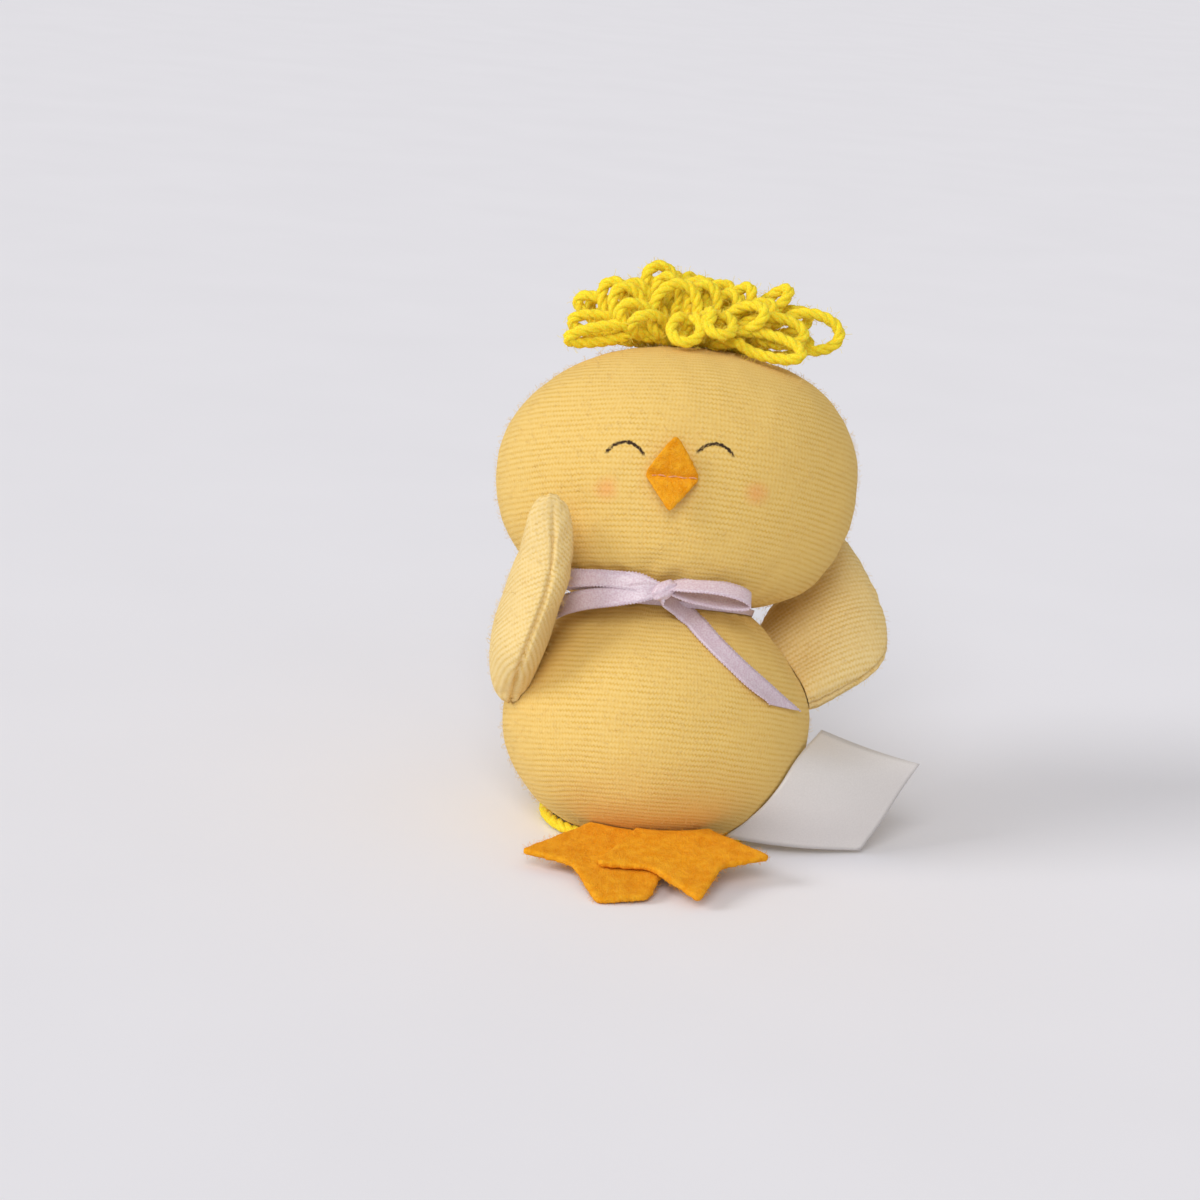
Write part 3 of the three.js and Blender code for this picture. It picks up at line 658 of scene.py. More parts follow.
# The wings get a paler copy of the knit: painted light, so that they look as brightly lit as the head.
wing_knit_painted_light = knit_material("knit_painted_lighter", tones=("#dfba66", "#f0d79e", "#e4be6e"))
head_knit.data.materials.append(face_knit)
body_knit.data.materials.append(plain_knit)
print("knit materials:", face_knit.name, plain_knit.name, wing_knit_painted_light.name)

# %% [markdown]
# A wing is a leaf of two knit panels sewn round the rim. Its rings run from the root's point to the tip, and
# cloth puffs the panels while the rim stays sewn, which gathers them along the seam. Where the head needs the
# room the whole wing eases aside, and where it would enter the body at a limit of its joint it is flattened.

# %% Padded knit: the wings
wing = dict(length=38, width=11.4, thick=4.8, widest=14.5, rim=1.2, wale=0.68)


def wing_skin(name, grow, slant_deg):
    count, steps = 44, 72
    cosine, sine = math.cos(math.radians(slant_deg)), math.sin(math.radians(slant_deg))
    phase = np.arange(steps + 1) / steps * 2 * math.pi
    rings, uvs = [], []
    for i in range(1, count):
        height = (1 - math.cos(math.pi * i / count)) / 2 * wing["length"]
        away, fullness = 1 - height / wing["widest"], 2
        if height >= wing["widest"]:
            away, fullness = (height - wing["widest"]) / (wing["length"] - wing["widest"]), 6
        width = (wing["width"] + grow) * math.cos(math.pi / 2 * away)
        thick = (wing["thick"] + grow) * math.sqrt(1 - away**fullness)
        x, y = width * np.cos(phase), thick * np.sign(np.sin(phase)) * np.abs(np.sin(phase)) ** wing["rim"]
        rings.append(np.stack([x, y, np.full(steps + 1, height)], 1)[:-1])
        walk = np.concatenate([[0], np.cumsum(np.hypot(np.diff(x), np.diff(y)))])
        walk = np.minimum(walk, walk[-1] - walk) - walk[-1] / 4
        across, along = cosine * walk - sine * height, sine * walk + cosine * height
        uvs.append(np.stack([across / wing["wale"], along / course], 1))
    return skin(name, rings, uvs, (0, 0, 0), (0, 0, wing["length"]))


def make_wing(name, place, turns_deg, slant_deg, bend, grow, seed, curl=0, dimple=None):
    """bend sways the wing along its length and curl bends its tip forward. dimple is a pixel of the photo."""
    sewn_half, root_length, gap = 0.3, 14, 0.2
    obj = wing_skin(name + "_knit", grow, slant_deg)
    puff(obj, np.abs(coords(obj)[:, 1]) < sewn_half, cap=0.8, loose=0.01)
    modified(obj, "SUBSURF", levels=1)
    points, outward = coords(obj), normals(obj)
    # The seam puckers the knit beside it and is itself a groove, which fades at the tip.
    near_rim = np.abs(points[:, 1])
    angle = np.arctan2(points[:, 0], points[:, 2] - wing["widest"])
    pucker = 0.11 * np.sin(angle * 34 + 1.5 * np.sin(angle * 5)) * np.exp(-near_rim / 1.6)
    groove = -0.75 * np.exp(-((near_rim / 0.5) ** 2)) * np.clip((wing["length"] - points[:, 2]) / 6, 0.15, 1)
    points = points + outward * (pucker + groove + 0.25 * lumps(points, 12, seed))[:, None]
    points[:, 1] += bend * np.sin(2 * math.pi * points[:, 2] / wing["length"])
    turn_x, turn_y, turn_z = (Matrix.Rotation(math.radians(t), 3, axis) for t, axis in zip(turns_deg, "XYZ"))
    turned = np.array(turn_x @ turn_y @ turn_z)
    points = points @ turned.T + place
    points[:, 1] -= curl * (np.maximum(points[:, 2] - place[2], 0) / 30) ** 2
    points = leaned(points)
    set_coords(obj, points)
    if dimple:
        spot = leaned(on_mesh(obj, [dimple]))[0]
        away = np.linalg.norm(points - spot, axis=1)
        points = points - normals(obj)[away.argmin()] * (1.4 * np.exp(-((away / 4.5) ** 2)))[:, None]
    bends[name] = leaned([place, place + turned @ (0, 0, root_length)]) * MM
    set_coords(obj, room_to_move(eased_clear(points, head_trees, gap, spread=5.0), name, gap))
    obj.data.materials.append(wing_knit_painted_light)
    carry(obj, name)
    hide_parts(name + "_cover", name + "_stuffing")
    print(obj.name, len(obj.data.polygons), "faces")
    return obj


wing_left = make_wing(
    "wing_left", place=(26.4, -1, 3.2), turns_deg=(-34, 10, -12), slant_deg=35, bend=0, grow=0.6, seed=11,
    dimple=(797, 655),
)
wing_right = make_wing(
    "wing_right", place=(-25.6, -8.5, -1), turns_deg=(15, 7, -82), slant_deg=40, bend=-1.2, grow=0.0, seed=12,
    curl=6.0,
)

# %% [markdown]
# Yarn follows a path, so it is made with geometry nodes. The tree takes a curve, doubles it once for each
# ply, winds the plies round the path and gives each a round section. The same tree serves wool and thread,
# as plies and twist are inputs.

# %% A tree for plied yarn


def tree_with(name, sizes):
    """A new tree whose inputs are geometry, the sizes that are named and a material."""
    tree = bpy.data.node_groups.new(name, "GeometryNodeTree")
    for label, kind in {"Geometry": "Geometry", **sizes, "Material": "Material"}.items():
        tree.interface.new_socket(label, in_out="INPUT", socket_type="NodeSocket" + kind)
    tree.interface.new_socket("Geometry", in_out="OUTPUT", socket_type="NodeSocketGeometry")
    return tree, tree.nodes.new("NodeGroupInput").outputs


def tree_end(tree, geometry, material):
    """Makes what a tree placed real, dresses it and hands it out."""
    real = add_node(tree, "GeometryNodeRealizeInstances", {"Geometry": geometry}).outputs[0]
    dressed = add_node(tree, "GeometryNodeSetMaterial", {"Geometry": real, "Material": material}).outputs[0]
    add_node(tree, "NodeGroupOutput", {"Geometry": dressed})
    return tree


def grown(name, source, tree, values):
    """A new mesh piece from a tree that is run on a source object."""
    modifier = source.modifiers.new(tree.name, "NODES")
    modifier.node_group = tree
    for item in tree.interface.items_tree:
        if item.in_out == "INPUT" and item.name in values:
            modifier[item.identifier] = values[item.name]
    source.update_tag()
    mesh = bpy.data.meshes.new_from_object(evaluated(source))
    source.modifiers.clear()
    mesh.polygons.foreach_set("use_smooth", [True] * len(mesh.polygons))
    print(name, len(mesh.polygons), "faces")
    return linked(name, mesh)


def plied_yarn():
    sizes = {"Plies": "Int", "Ply Radius": "Float", "Ply Offset": "Float", "Twist": "Float"}
    tree, given = tree_with("plied_yarn", sizes)
    path = {"Curve": given["Geometry"], "Length": 0.5 * MM}
    even = add_node(tree, "GeometryNodeResampleCurve", path, mode="LENGTH").outputs[0]
    doubled = {"Geometry": even, "Amount": given["Plies"]}
    copies = add_node(tree, "GeometryNodeDuplicateElements", doubled, domain="SPLINE")
    numbered = {0: copies.outputs["Duplicate Index"], 1: given["Plies"]}
    phase = add_node(tree, "ShaderNodeMath", numbered, operation="DIVIDE").outputs[0]
    length = add_node(tree, "GeometryNodeSplineParameter").outputs["Length"]
    wound = {0: length, 1: given["Twist"], 2: phase}
    turns = add_node(tree, "ShaderNodeMath", wound, operation="MULTIPLY_ADD").outputs[0]
    angle = add_node(tree, "ShaderNodeMath", {0: turns, 1: 2 * math.pi}, operation="MULTIPLY").outputs[0]
    normal = add_node(tree, "GeometryNodeInputNormal").outputs[0]
    tangent = add_node(tree, "GeometryNodeInputTangent").outputs[0]
    turned = {"Vector": normal, "Axis": tangent, "Angle": angle}
    outward = add_node(tree, "ShaderNodeVectorRotate", turned).outputs[0]
    scaled = {0: outward, "Scale": given["Ply Offset"]}
    offset = add_node(tree, "ShaderNodeVectorMath", scaled, operation="SCALE").outputs[0]
    moved = {"Geometry": copies.outputs[0], "Offset": offset}
    plies = add_node(tree, "GeometryNodeSetPosition", moved).outputs[0]
    circle = {"Resolution": 7, "Radius": given["Ply Radius"]}
    section = add_node(tree, "GeometryNodeCurvePrimitiveCircle", circle).outputs[0]
    swept = {"Curve": plies, "Profile Curve": section, "Fill Caps": True}
    tube = add_node(tree, "GeometryNodeCurveToMesh", swept).outputs[0]
    return tree_end(tree, tube, given["Material"])


yarn_tree = plied_yarn()
print(yarn_tree.name, "has", len(yarn_tree.nodes), "nodes")


def spun(name, route, values):
    """Plied yarn along a smooth route."""
    curve = bpy.data.curves.new(name, "CURVE")
    curve.dimensions = "3D"
    curve.resolution_u = 12
    spline = curve.splines.new("BEZIER")
    spline.bezier_points.add(len(route) - 1)
    for knob, point in zip(spline.bezier_points, route):
        knob.co = Vector(point) * MM
        knob.handle_left_type = knob.handle_right_type = "AUTO"
    path = linked(name + "_path", curve)
    print(name, round(spline.calc_length() / MM), "mm long")
    piece = grown(name, path, yarn_tree, values)
    bpy.data.objects.remove(path)
    return piece


# %% [markdown]
# The tuft is one unbroken strand: it leaves the crown, goes round a loop, comes back to the crown and goes on
# to the next. A loop is an oval that points its own way, and each is placed one by one from the photograph.

# %% Yarn: the tuft
# A loop's middle, half-length and half-width, then the way it points (bearing and rise) and its roll.
# Bearing 0 is the chick's left and -90 the front. Roll 90 turns the loop's open side to the front.
tuft_loops = [
    (-15.4, -7.4, 65.6, 6.4, 1.4, 188, -14, 60),
    (-16.4, -4.0, 67.6, 4.8, 1.7, 180, 2, 70),
    (-16.2, -0.5, 70.6, 4.6, 2.0, 175, 22, 75),
    (-13.0, 6.0, 69.0, 5.0, 2.4, 150, 20, 60),
    (-14.6, 2.4, 70.2, 4.4, 2.2, 170, 35, 80),
    (-12.8, -2.4, 71.6, 4.7, 2.8, 180, 55, 80),
    (-11.3, -5.4, 70.8, 4.0, 2.6, 185, 65, 90),
    (-9.4, 2.6, 72.4, 4.4, 2.4, 170, 65, 85),
    (-9.8, -3.0, 72.4, 3.6, 2.0, 180, 70, 85),
    (-9.0, -7.4, 68.6, 4.2, 2.4, 200, 25, 70),
    (-7.6, -8.6, 67.8, 3.6, 2.2, 225, 5, 40),
    (-6.1, -1.0, 76.4, 3.2, 2.7, 190, 75, 90),
    (-6.8, 4.0, 73.6, 4.2, 2.4, 150, 70, 70),
    (-8.0, 9.5, 68.6, 4.8, 2.4, 120, 30, 40),
    (-2.0, 12.5, 67.0, 5.0, 2.6, 95, 20, 30),
    (-0.6, 2.0, 75.4, 3.4, 2.4, 90, 75, 60),
    (-3.0, 3.6, 74.4, 4.4, 2.6, 90, 78, 85),
    (-4.6, -3.2, 74.0, 3.4, 2.2, 180, 80, 90),
    (-3.2, -7.2, 70.6, 5.2, 3.9, 5, 75, 90),
    (-1.0, -11.4, 67.2, 2.9, 2.6, -95, -60, 0),
    (4.8, -11.2, 68.6, 2.7, 2.4, -80, -50, 0),
    (2.0, -9.0, 68.8, 3.4, 2.2, -70, 10, 70),
    (0.2, -3.4, 73.6, 3.6, 2.2, 0, 80, 80),
    (1.6, -5.6, 72.4, 3.8, 2.6, 0, 85, 90),
    (4.2, 0.0, 74.0, 3.8, 2.4, 10, 60, 75),
    (2.4, 3.4, 74.0, 4.2, 2.4, 60, 72, 75),
    (5.4, -4.6, 71.6, 3.8, 2.2, 10, 70, 75),
    (5.0, 11.5, 67.6, 4.8, 2.5, 70, 25, 40),
    (8.0, -2.0, 73.6, 3.8, 2.0, 0, 62, 60),
    (6.2, 4.0, 72.6, 4.4, 2.4, 30, 60, 75),
    (13.4, -1.0, 73.8, 5.0, 1.5, 0, 46, 60),
    (10.4, 3.6, 71.6, 4.4, 2.2, 20, 50, 75),
    (10.8, -4.6, 71.0, 4.2, 2.2, 5, 40, 75),
    (11.0, 8.0, 68.8, 5.0, 2.4, 40, 25, 50),
    (17.0, 5.0, 68.0, 5.2, 2.3, 15, 12, 60),
    (16.2, 1.0, 71.6, 5.2, 2.2, 5, 18, 70),
    (21.2, -2.0, 70.0, 5.4, 3.3, 0, -3, 88),
    (9.0, -8.0, 70.4, 4.0, 2.4, -20, 20, 70),
    (14.8, -6.5, 69.0, 5.2, 2.5, -5, -6, 75),
    (13.6, -9.8, 65.8, 6.2, 2.2, -12, -12, 65),
]


def tuft_route():
    points, crown_height = [], crown + 1.4
    for x, y, z, half_length, half_width, bearing, rise, roll in tuft_loops:
        bearing, rise, roll = (math.radians(a) for a in (bearing, rise, roll))
        outward = np.array((math.cos(bearing), math.sin(bearing), 0))
        along = outward * math.cos(rise) + (0, 0, math.sin(rise))
        level = np.array((-math.sin(bearing), math.cos(bearing), 0))
        across = level * math.cos(roll) + np.cross(along, level) * math.sin(roll)
        middle = np.array((x, y, z))
        neck = middle - along * (half_length + 0.6)
        foot = np.array((neck[0] * 0.6, neck[1] * 0.6, crown_height))
        points.append(foot - across * 0.9)
        for turn in np.radians(np.linspace(-150, 150, 11)):
            oval = along * half_length * math.cos(turn) + across * half_width * math.sin(turn)
            points.append(middle + oval)
        points.append(foot + across * 0.9)
    return points


# Wool yarn, spun in plies: bright and matt, soft at its edges, with light shining a little way into it.
# Its fibres are too fine to show, so they are drawn about ten times as coarse.
yarn = Shader(
    "wool_yarn", Roughness=0.9, Sheen_Weight=0.5, Sheen_Roughness=0.4, Specular_IOR_Level=0.15,
    Subsurface_Weight=0.3, Subsurface_Scale=0.8 * MM,
)
yarn.takes("Sheen Tint", linear("#ffee70"))
yarn_place = yarn("TexCoord")
yarn_fibre = yarn("TexNoise", yarn_place, patches(0.3), 3)
yarn_tone = yarn("Mix", yarn("MapRange", yarn_fibre, 0.3, 0.7), linear("#ffd216"), linear("#ffec4a"))
yarn_patch = yarn("MULTIPLY", yarn("TexNoise", yarn_place, patches(5)), 0.3)
yarn.takes("Base Color", yarn("Mix", yarn_patch, yarn_tone, linear("#ffe038")))
yarn.takes("Normal", yarn("Bump", yarn_fibre, 0.2 * MM))
yarn_values = {
    "Plies": 3, "Ply Radius": 0.60 * MM, "Ply Offset": 0.48 * MM, "Twist": 1 / (6 * MM),
    "Material": yarn.material,
}
tuft_piece = spun("tuft_yarn_plied", leaned(tuft_route()), yarn_values)
set_coords(tuft_piece, kept_clear(coords(tuft_piece), head_trees[:1], 0.1))
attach(tuft_piece, "head")
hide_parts("tuft_yarn")

# %% [markdown]
# The tail is a shorter strand of the same yarn. It comes in beside one heel, follows the seat to the back,
# goes round four loops there and leaves beside the other heel.

# %% Yarn: the tail


def tail_route():
    points, level = [], 1.3
    radius, forward, tuck, loops, reach, rise, pitch, steps = 19.2, 45, 1.6, 4, 13, 3, 16, 7
    behind = 90 + loops / 2 * pitch + pitch / 2

    def put(away, bearing, height=level):
        bearing = math.radians(bearing)
        points.append((away * math.cos(bearing), away * math.sin(bearing), height))

    sides = [behind + (180 + forward - behind) * i / steps for i in range(steps + 1)]
    aways = [radius - 1 - tuck * (max(0, bearing - 180) / forward) ** 2 for bearing in sides]
    for away, bearing in zip(reversed(aways), reversed(sides)):
        put(away, bearing)
    for k in range(loops):
        bearing = behind - pitch * (k + 1)
        for out, up, half in ((0.4, 0.7, 1), (1, 1, 0.8), (1.2, 1, 0), (1, 1, -0.8), (0.4, 0.7, -1)):
            put(radius + reach * out, bearing + half * pitch / 4, level + rise * up)
        put(radius, bearing - pitch / 2)
    for away, bearing in zip(aways[1:], sides[1:]):
        put(away, 180 - bearing)
    return points


tail_piece = spun("tail_yarn_plied", tail_route(), yarn_values)
tail_points, tail_floor_gap = coords(tail_piece), 0.15
tail_points[:, 2] = np.maximum(tail_points[:, 2], tail_floor_gap)
set_coords(tail_piece, kept_clear(tail_points, (body_tree,), 0.05))
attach(tail_piece, "body")
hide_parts("tail_yarn")

# %% [markdown]
# The ribbon is thin and flat, so it is modelled strip by strip: a band drawn narrow in the neck's crease, two
# loops, two tails and a knot. Each strip is a row of places with a width direction. Its woven edges are a row
# of tiny beads that a second tree of geometry nodes sets along the edge curves.

# %% Satin ribbon: how a strip runs
ribbon_width, ribbon_thickness, ribbon_columns = 3.3, 0.3, 7
knot = np.array((-1.0, -20.9, 20.9))


def on_body(points, gap):
    """The nearest places on the body's knit, stood off by a gap, and the way the knit faces there."""
    found = [body_tree.find_nearest(Vector(point * MM)) for point in leaned(points)]
    places = np.array([np.array(near) / MM + np.array(facing) * gap for near, facing, _, _ in found])
    return places, np.array([facing for _, facing, _, _ in found])


def strip(places, across, widths=1.0, cup=0.0):
    """Columns of points along a ribbon. widths narrows it where it is drawn in, and cup bows it."""
    places, across = np.asarray(places, float), unit(np.asarray(across, float))
    facing = unit(np.cross(np.gradient(places, axis=0), across))
    halves = np.broadcast_to(np.asarray(widths, float) * ribbon_width / 2, len(places))
    shares = np.linspace(-1, 1, ribbon_columns)[None, :, None]
    bowed = cup * (1 - shares**2) * facing[:, None]
    return places[:, None] + shares * halves[:, None, None] * across[:, None] + bowed


def sheet_faces(rows, first=0):
    """The faces of a sheet whose points lie in rows and columns."""
    count, columns = rows.shape[:2]
    firsts = [first + i * columns + j for i in range(count - 1) for j in range(columns - 1)]
    return [(one, one + 1, one + columns + 1, one + columns) for one in firsts]


def curve_through(points, steps):
    """Smooth places through a few given ones."""
    points = np.asarray(points, float)
    slopes = np.gradient(points, axis=0)
    out = []
    for walked in np.linspace(0, len(points) - 1, steps):
        i = min(int(walked), len(points) - 2)
        part = walked - i
        ends = (2 * part**3 - 3 * part**2 + 1) * points[i] + (3 * part**2 - 2 * part**3) * points[i + 1]
        out.append(ends + (part**3 - 2 * part**2 + part) * slopes[i] + (part**3 - part**2) * slopes[i + 1])
    return np.array(out)


def drawn_in(away):
    """How wide the ribbon is at a distance from the knot, which draws it in."""
    knot_width, fade = 0.62, 5
    return knot_width + (1 - knot_width) * eased(np.asarray(away) / fade)


def neck_band():
    """The band in the neck's crease, drawn in to about a third of its width."""
    steps, radius, height = 97, neck_radius + 1.15, neck_height - 0.55
    ring = np.linspace(0, 2 * math.pi, steps)
    places = np.stack([radius * np.sin(ring), radius * np.cos(ring), np.full(steps, height)], 1)
    upward = np.tile((0.0, 0.0, 1.0), (steps, 1)) + 0.5 * places / radius
    return leaned(strip(places, upward, 0.34))


def slanted(rows, slant):
    """Cuts the end of a ribbon on the slant, which the last rows share."""
    sharing = 15
    along = unit(rows[-1] - rows[-4])
    ramp = np.clip(np.arange(len(rows)) - len(rows) + sharing + 1, 0, sharing)[:, None, None] / sharing
    return rows + ramp * along * np.linspace(-slant, slant, ribbon_columns)[:, None]


def lying_tail(points, slant):
    """A tail that leaves the knot and lies on the body."""
    steps, easing = 44, 10
    places, facing = on_body(curve_through(points, steps), 0.5)
    start = leaned([knot + (-0.9, 0.1, -1.3)])[0]
    ease = eased(np.arange(steps) / easing)[:, None]
    places = start * (1 - ease) + places * ease + facing * (1.6 * ease * (1 - ease))
    widths = 1.08 * drawn_in(np.linalg.norm(places - start, axis=1) + 1.5)
    across = np.cross(np.gradient(places, axis=0), facing)
    return slanted(strip(places, across, widths, 0.12), slant)


def hung_strand(points, tip, sway, steps=44):
    """A strand from the knot through the air, its width upright, tipped back by an angle that sways."""
    places = curve_through(points, steps)
    along = np.gradient(places, axis=0)
    angles = np.radians(tip + sway * np.sin(np.linspace(0, 2 * math.pi, steps)))
    upright_way = np.stack([np.zeros(steps), np.sin(angles), np.cos(angles)], 1)
    across = upright_way - along * ((upright_way * along).sum(1) / (along * along).sum(1))[:, None]
    return leaned(strip(places, across, drawn_in(np.linalg.norm(places - knot, axis=1)), 0.1))


def bow_loop(reach, tip, opening, dip):
    """An open loop at the left of the knot, whose width tips so that its inside shows below."""
    steps, tip = 57, math.radians(tip)
    turn = np.linspace(0, 2 * math.pi, steps)
    out = reach / 2 * (1 - np.cos(turn))
    apart = opening * np.sin(turn) * np.sin(turn / 2) ** 0.6
    rise = 0.5 + np.sin(tip) * apart - dip * (out / reach) ** 2
    places = knot + np.stack([out, np.cos(tip) * apart + 0.10 * out, rise], 1)
    across = np.tile((0, -math.sin(tip), math.cos(tip)), (steps, 1))
    return leaned(strip(places, across, drawn_in(out)))


print("ribbon", ribbon_width, "mm wide, knot at", leaned([knot])[0].round(1))

# %% [markdown]
# The bow's loop and tail on the chick's right hang in the air, so each follows a few given places.
# The tail on its left lies on the belly, so its places are pixels of the photograph, found on the knit.

# %% Satin ribbon: band, bow and knot
right_loop = [
    knot, (-6.4, -20.9, 22.0), (-11.6, -19.6, 22.3), (-17.0, -16.6, 21.8), (-20.6, -13.2, 21.1),
    (-21.6, -11.9, 20.9), (-20.8, -12.0, 20.9), (-16.8, -15.4, 21.5), (-11.4, -18.5, 22.0),
    (-6.2, -20.1, 21.7), knot,
]
right_tail = [
    knot, (-5, -21.4, 20.1), (-9.6, -20.4, 19.1), (-14, -17.6, 18.3), (-17.5, -13.8, 17.3),
    (-19.4, -10.4, 16.3),
]
tail_pixels = [(660, 605), (678, 610), (694, 623), (711, 642), (729, 660), (747, 677), (765, 693), (782, 708)]
left_tail = on_mesh(body_knit, tail_pixels)
strips = [
    neck_band(),
    bow_loop(reach=15.0, tip=-42, opening=2.0, dip=0.9),
    hung_strand(right_loop, tip=4, sway=12, steps=70),
    hung_strand(right_tail, tip=-8, sway=14),
    lying_tail(left_tail, slant=-3.6),
]
strips = [kept_clear(rows.reshape(-1, 3), head_trees, 0.3).reshape(rows.shape) for rows in strips]
points, faces = [], []
for rows in strips:
    faces += sheet_faces(rows, len(points))
    points += rows.reshape(-1, 3).tolist()
satin_ribbon = new_object("satin_ribbon", points, faces)
modified(satin_ribbon, "SOLIDIFY", thickness=ribbon_thickness * MM, offset=0)

knot_rings, knot_uvs, knot_steps = [], [], 41
turn = np.linspace(0, 2 * math.pi, knot_steps)
for share in np.linspace(-1, 1, 19)[1:-1]:
    round_off = (1 - abs(share) ** 3) ** 0.5
    fold = 1 + 0.06 * np.sin(5 * turn + 5 * share) + 0.05 * math.cos(7 * share)
    deep, tall = 1.15 * round_off * fold * np.cos(turn), 1.8 * round_off * fold * np.sin(turn)
    ring = np.stack([1.9 * share + 0.5 * tall, deep, tall], 1)
    knot_rings.append(leaned(ring[:-1] + knot))
    knot_uvs.append(np.stack([turn, np.full(knot_steps, share)], 1))
ends = leaned(knot + np.array([(-2.0, 0, 0), (2.0, 0, 0)]))
satin_knot = skin("satin_knot", knot_rings, knot_uvs, ends[0], ends[1])
print("ribbon of", len(strips), "strips,", len(satin_ribbon.data.polygons), "faces")

# %% [markdown]
# Satin is woven so that long threads float on its face, which makes it shine along one way. The ribbon's
# edges are bound with tiny loops of the same thread. They follow its edge lines, so a tree sets them there.

# %% Satin ribbon: woven edges and material


def edge_beads():
    tree, given = tree_with("woven_edge", {"Spacing": "Float", "Bead Radius": "Float"})
    spaced = {"Curve": given["Geometry"], "Length": given["Spacing"]}
    spots = add_node(tree, "GeometryNodeResampleCurve", spaced, mode="LENGTH").outputs[0]
    ball = {"Radius": given["Bead Radius"], "Subdivisions": 1}
    bead = add_node(tree, "GeometryNodeMeshIcoSphere", ball).outputs[0]
    placed = add_node(tree, "GeometryNodeInstanceOnPoints", {"Points": spots, "Instance": bead}).outputs[0]
    return tree_end(tree, placed, given["Material"])


# Satin ribbon, woven: a smooth face with long, soft highlights. Its threads are drawn coarse enough to show.
satin = Shader("lilac_satin", Roughness=0.3, Sheen_Weight=0.15, Sheen_Roughness=0.3, Anisotropic=0.5)
satin_place = satin("TexCoord")
weave = satin("TexNoise", satin_place, patches(0.28), 3)
tone = satin("Mix", satin("MapRange", weave, 0.3, 0.7), linear("#cbb1be"), linear("#e1d5dd"))
satin_patch = satin("MULTIPLY", satin("TexNoise", satin_place, patches(4)), 0.35)
satin.takes("Base Color", satin("Mix", satin_patch, tone, linear("#d0b1bf")))
satin.takes("Normal", satin("Bump", weave, 0.06 * MM, 0.6))
edge_curve = bpy.data.curves.new("ribbon_edges", "CURVE")
edge_curve.dimensions = "3D"
for rows in strips[1:]:
    for column in (0, -1):
        line = edge_curve.splines.new("POLY")
        line.points.add(len(rows) - 1)
        for spot, place in zip(line.points, rows[:, column]):
            spot.co = (*(place * MM), 1)
edge_source = linked("ribbon_edges", edge_curve)
edge_values = {"Spacing": 0.6 * MM, "Bead Radius": 0.2 * MM, "Material": satin.material}
ribbon_edges = grown("ribbon_woven_edges", edge_source, edge_beads(), edge_values)
bpy.data.objects.remove(edge_source)
for piece in (satin_ribbon, satin_knot):
    piece.data.materials.append(satin.material)
for piece in (satin_ribbon, satin_knot, ribbon_edges):
    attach(piece, "body")
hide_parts("neck_ribbon", "neck_thread")

# %% [markdown]
# Felt is cut flat and has a soft, rounded edge. Each felt piece is an outline extruded to the felt's
# thickness, remeshed to even small faces, smoothed, and then bent to the way it sits.

# %% Felt: a plate and its material
felt_thickness = 1.1


def felt_plate(name, outline, voxel):
    build = bmesh.new()
    face = build.faces.new([build.verts.new((x * MM, y * MM, 0)) for x, y in outline])
    raised = bmesh.ops.extrude_face_region(build, geom=[face])["geom"]
    top = [part for part in raised if isinstance(part, bmesh.types.BMVert)]
    bmesh.ops.translate(build, vec=(0, 0, felt_thickness * MM), verts=top)
    bmesh.ops.recalc_face_normals(build, faces=build.faces)
    bmesh.ops.triangulate(build, faces=build.faces)
    mesh = bpy.data.meshes.new(name)
    build.to_mesh(mesh)
    build.free()
    obj = linked(name, mesh)
    modified(obj, "REMESH", mode="VOXEL", voxel_size=voxel * MM, use_smooth_shade=True)
    return modified(obj, "SMOOTH", factor=0.5, iterations=3)


def rounded(corners, start, end, radius):
    """An outline from start through rounded corners to end."""
    outline, previous = [start], np.array(start)
    corners = [np.array(corner) for corner in corners]
    for i, corner in enumerate(corners):
        following = corners[i + 1] if i + 1 < len(corners) else np.array(end)
        before = corner + (previous - corner) * radius / np.linalg.norm(previous - corner)
        after = corner + (following - corner) * radius / np.linalg.norm(following - corner)
        for part in np.linspace(0, 1, 6):
            bend = (1 - part) ** 2 * before + 2 * part * (1 - part) * corner + part * part * after
            outline.append(tuple(bend))
        previous = corner
    return outline + [end]


# Wool felt, pressed and cut: quite matt and mottled. Its tangled fibres are drawn coarse enough to show.
felt = Shader("orange_felt", Roughness=0.97, Sheen_Weight=0.15, Sheen_Roughness=0.5, Specular_IOR_Level=0.1)
felt.takes("Sheen Tint", linear("#ffb84a"))
felt_place = felt("TexCoord")
felt_fibre = felt("TexNoise", felt_place, patches(0.3), 4)
felt_mottle = felt("TexNoise", felt_place, patches(1.6), 3)
tone = felt("Mix", felt("MapRange", felt_mottle, 0.3, 0.7), linear("#e8930f"), linear("#f5ab24"))
felt_light = felt("MULTIPLY", felt("MapRange", felt_fibre, 0.45, 0.75), 0.4)
felt.takes("Base Color", felt("Mix", felt_light, tone, linear("#f9bf4c")))
felt_height = felt("MULTIPLY_ADD", felt_mottle, 0.6, felt_fibre)
felt.takes("Normal", felt("Bump", felt_height, 0.35 * MM, 0.9))
print("felt", felt_thickness, "mm thick")

# %% [markdown]
# The feet are felt with three toes, sewn on at their heels. The chick's left foot lies over its right one, so
# its heel sits one thickness of felt higher. Both are held in that place, with room to bend.

# %% Felt: the feet
foot_slope = math.radians(8.5)
side_toe, notch, heel_half, heel_depth = 20.4, 16.2, 4.7, 3.0


def polar(radius, degrees):
    return radius * math.sin(math.radians(degrees)), -radius * math.cos(math.radians(degrees))


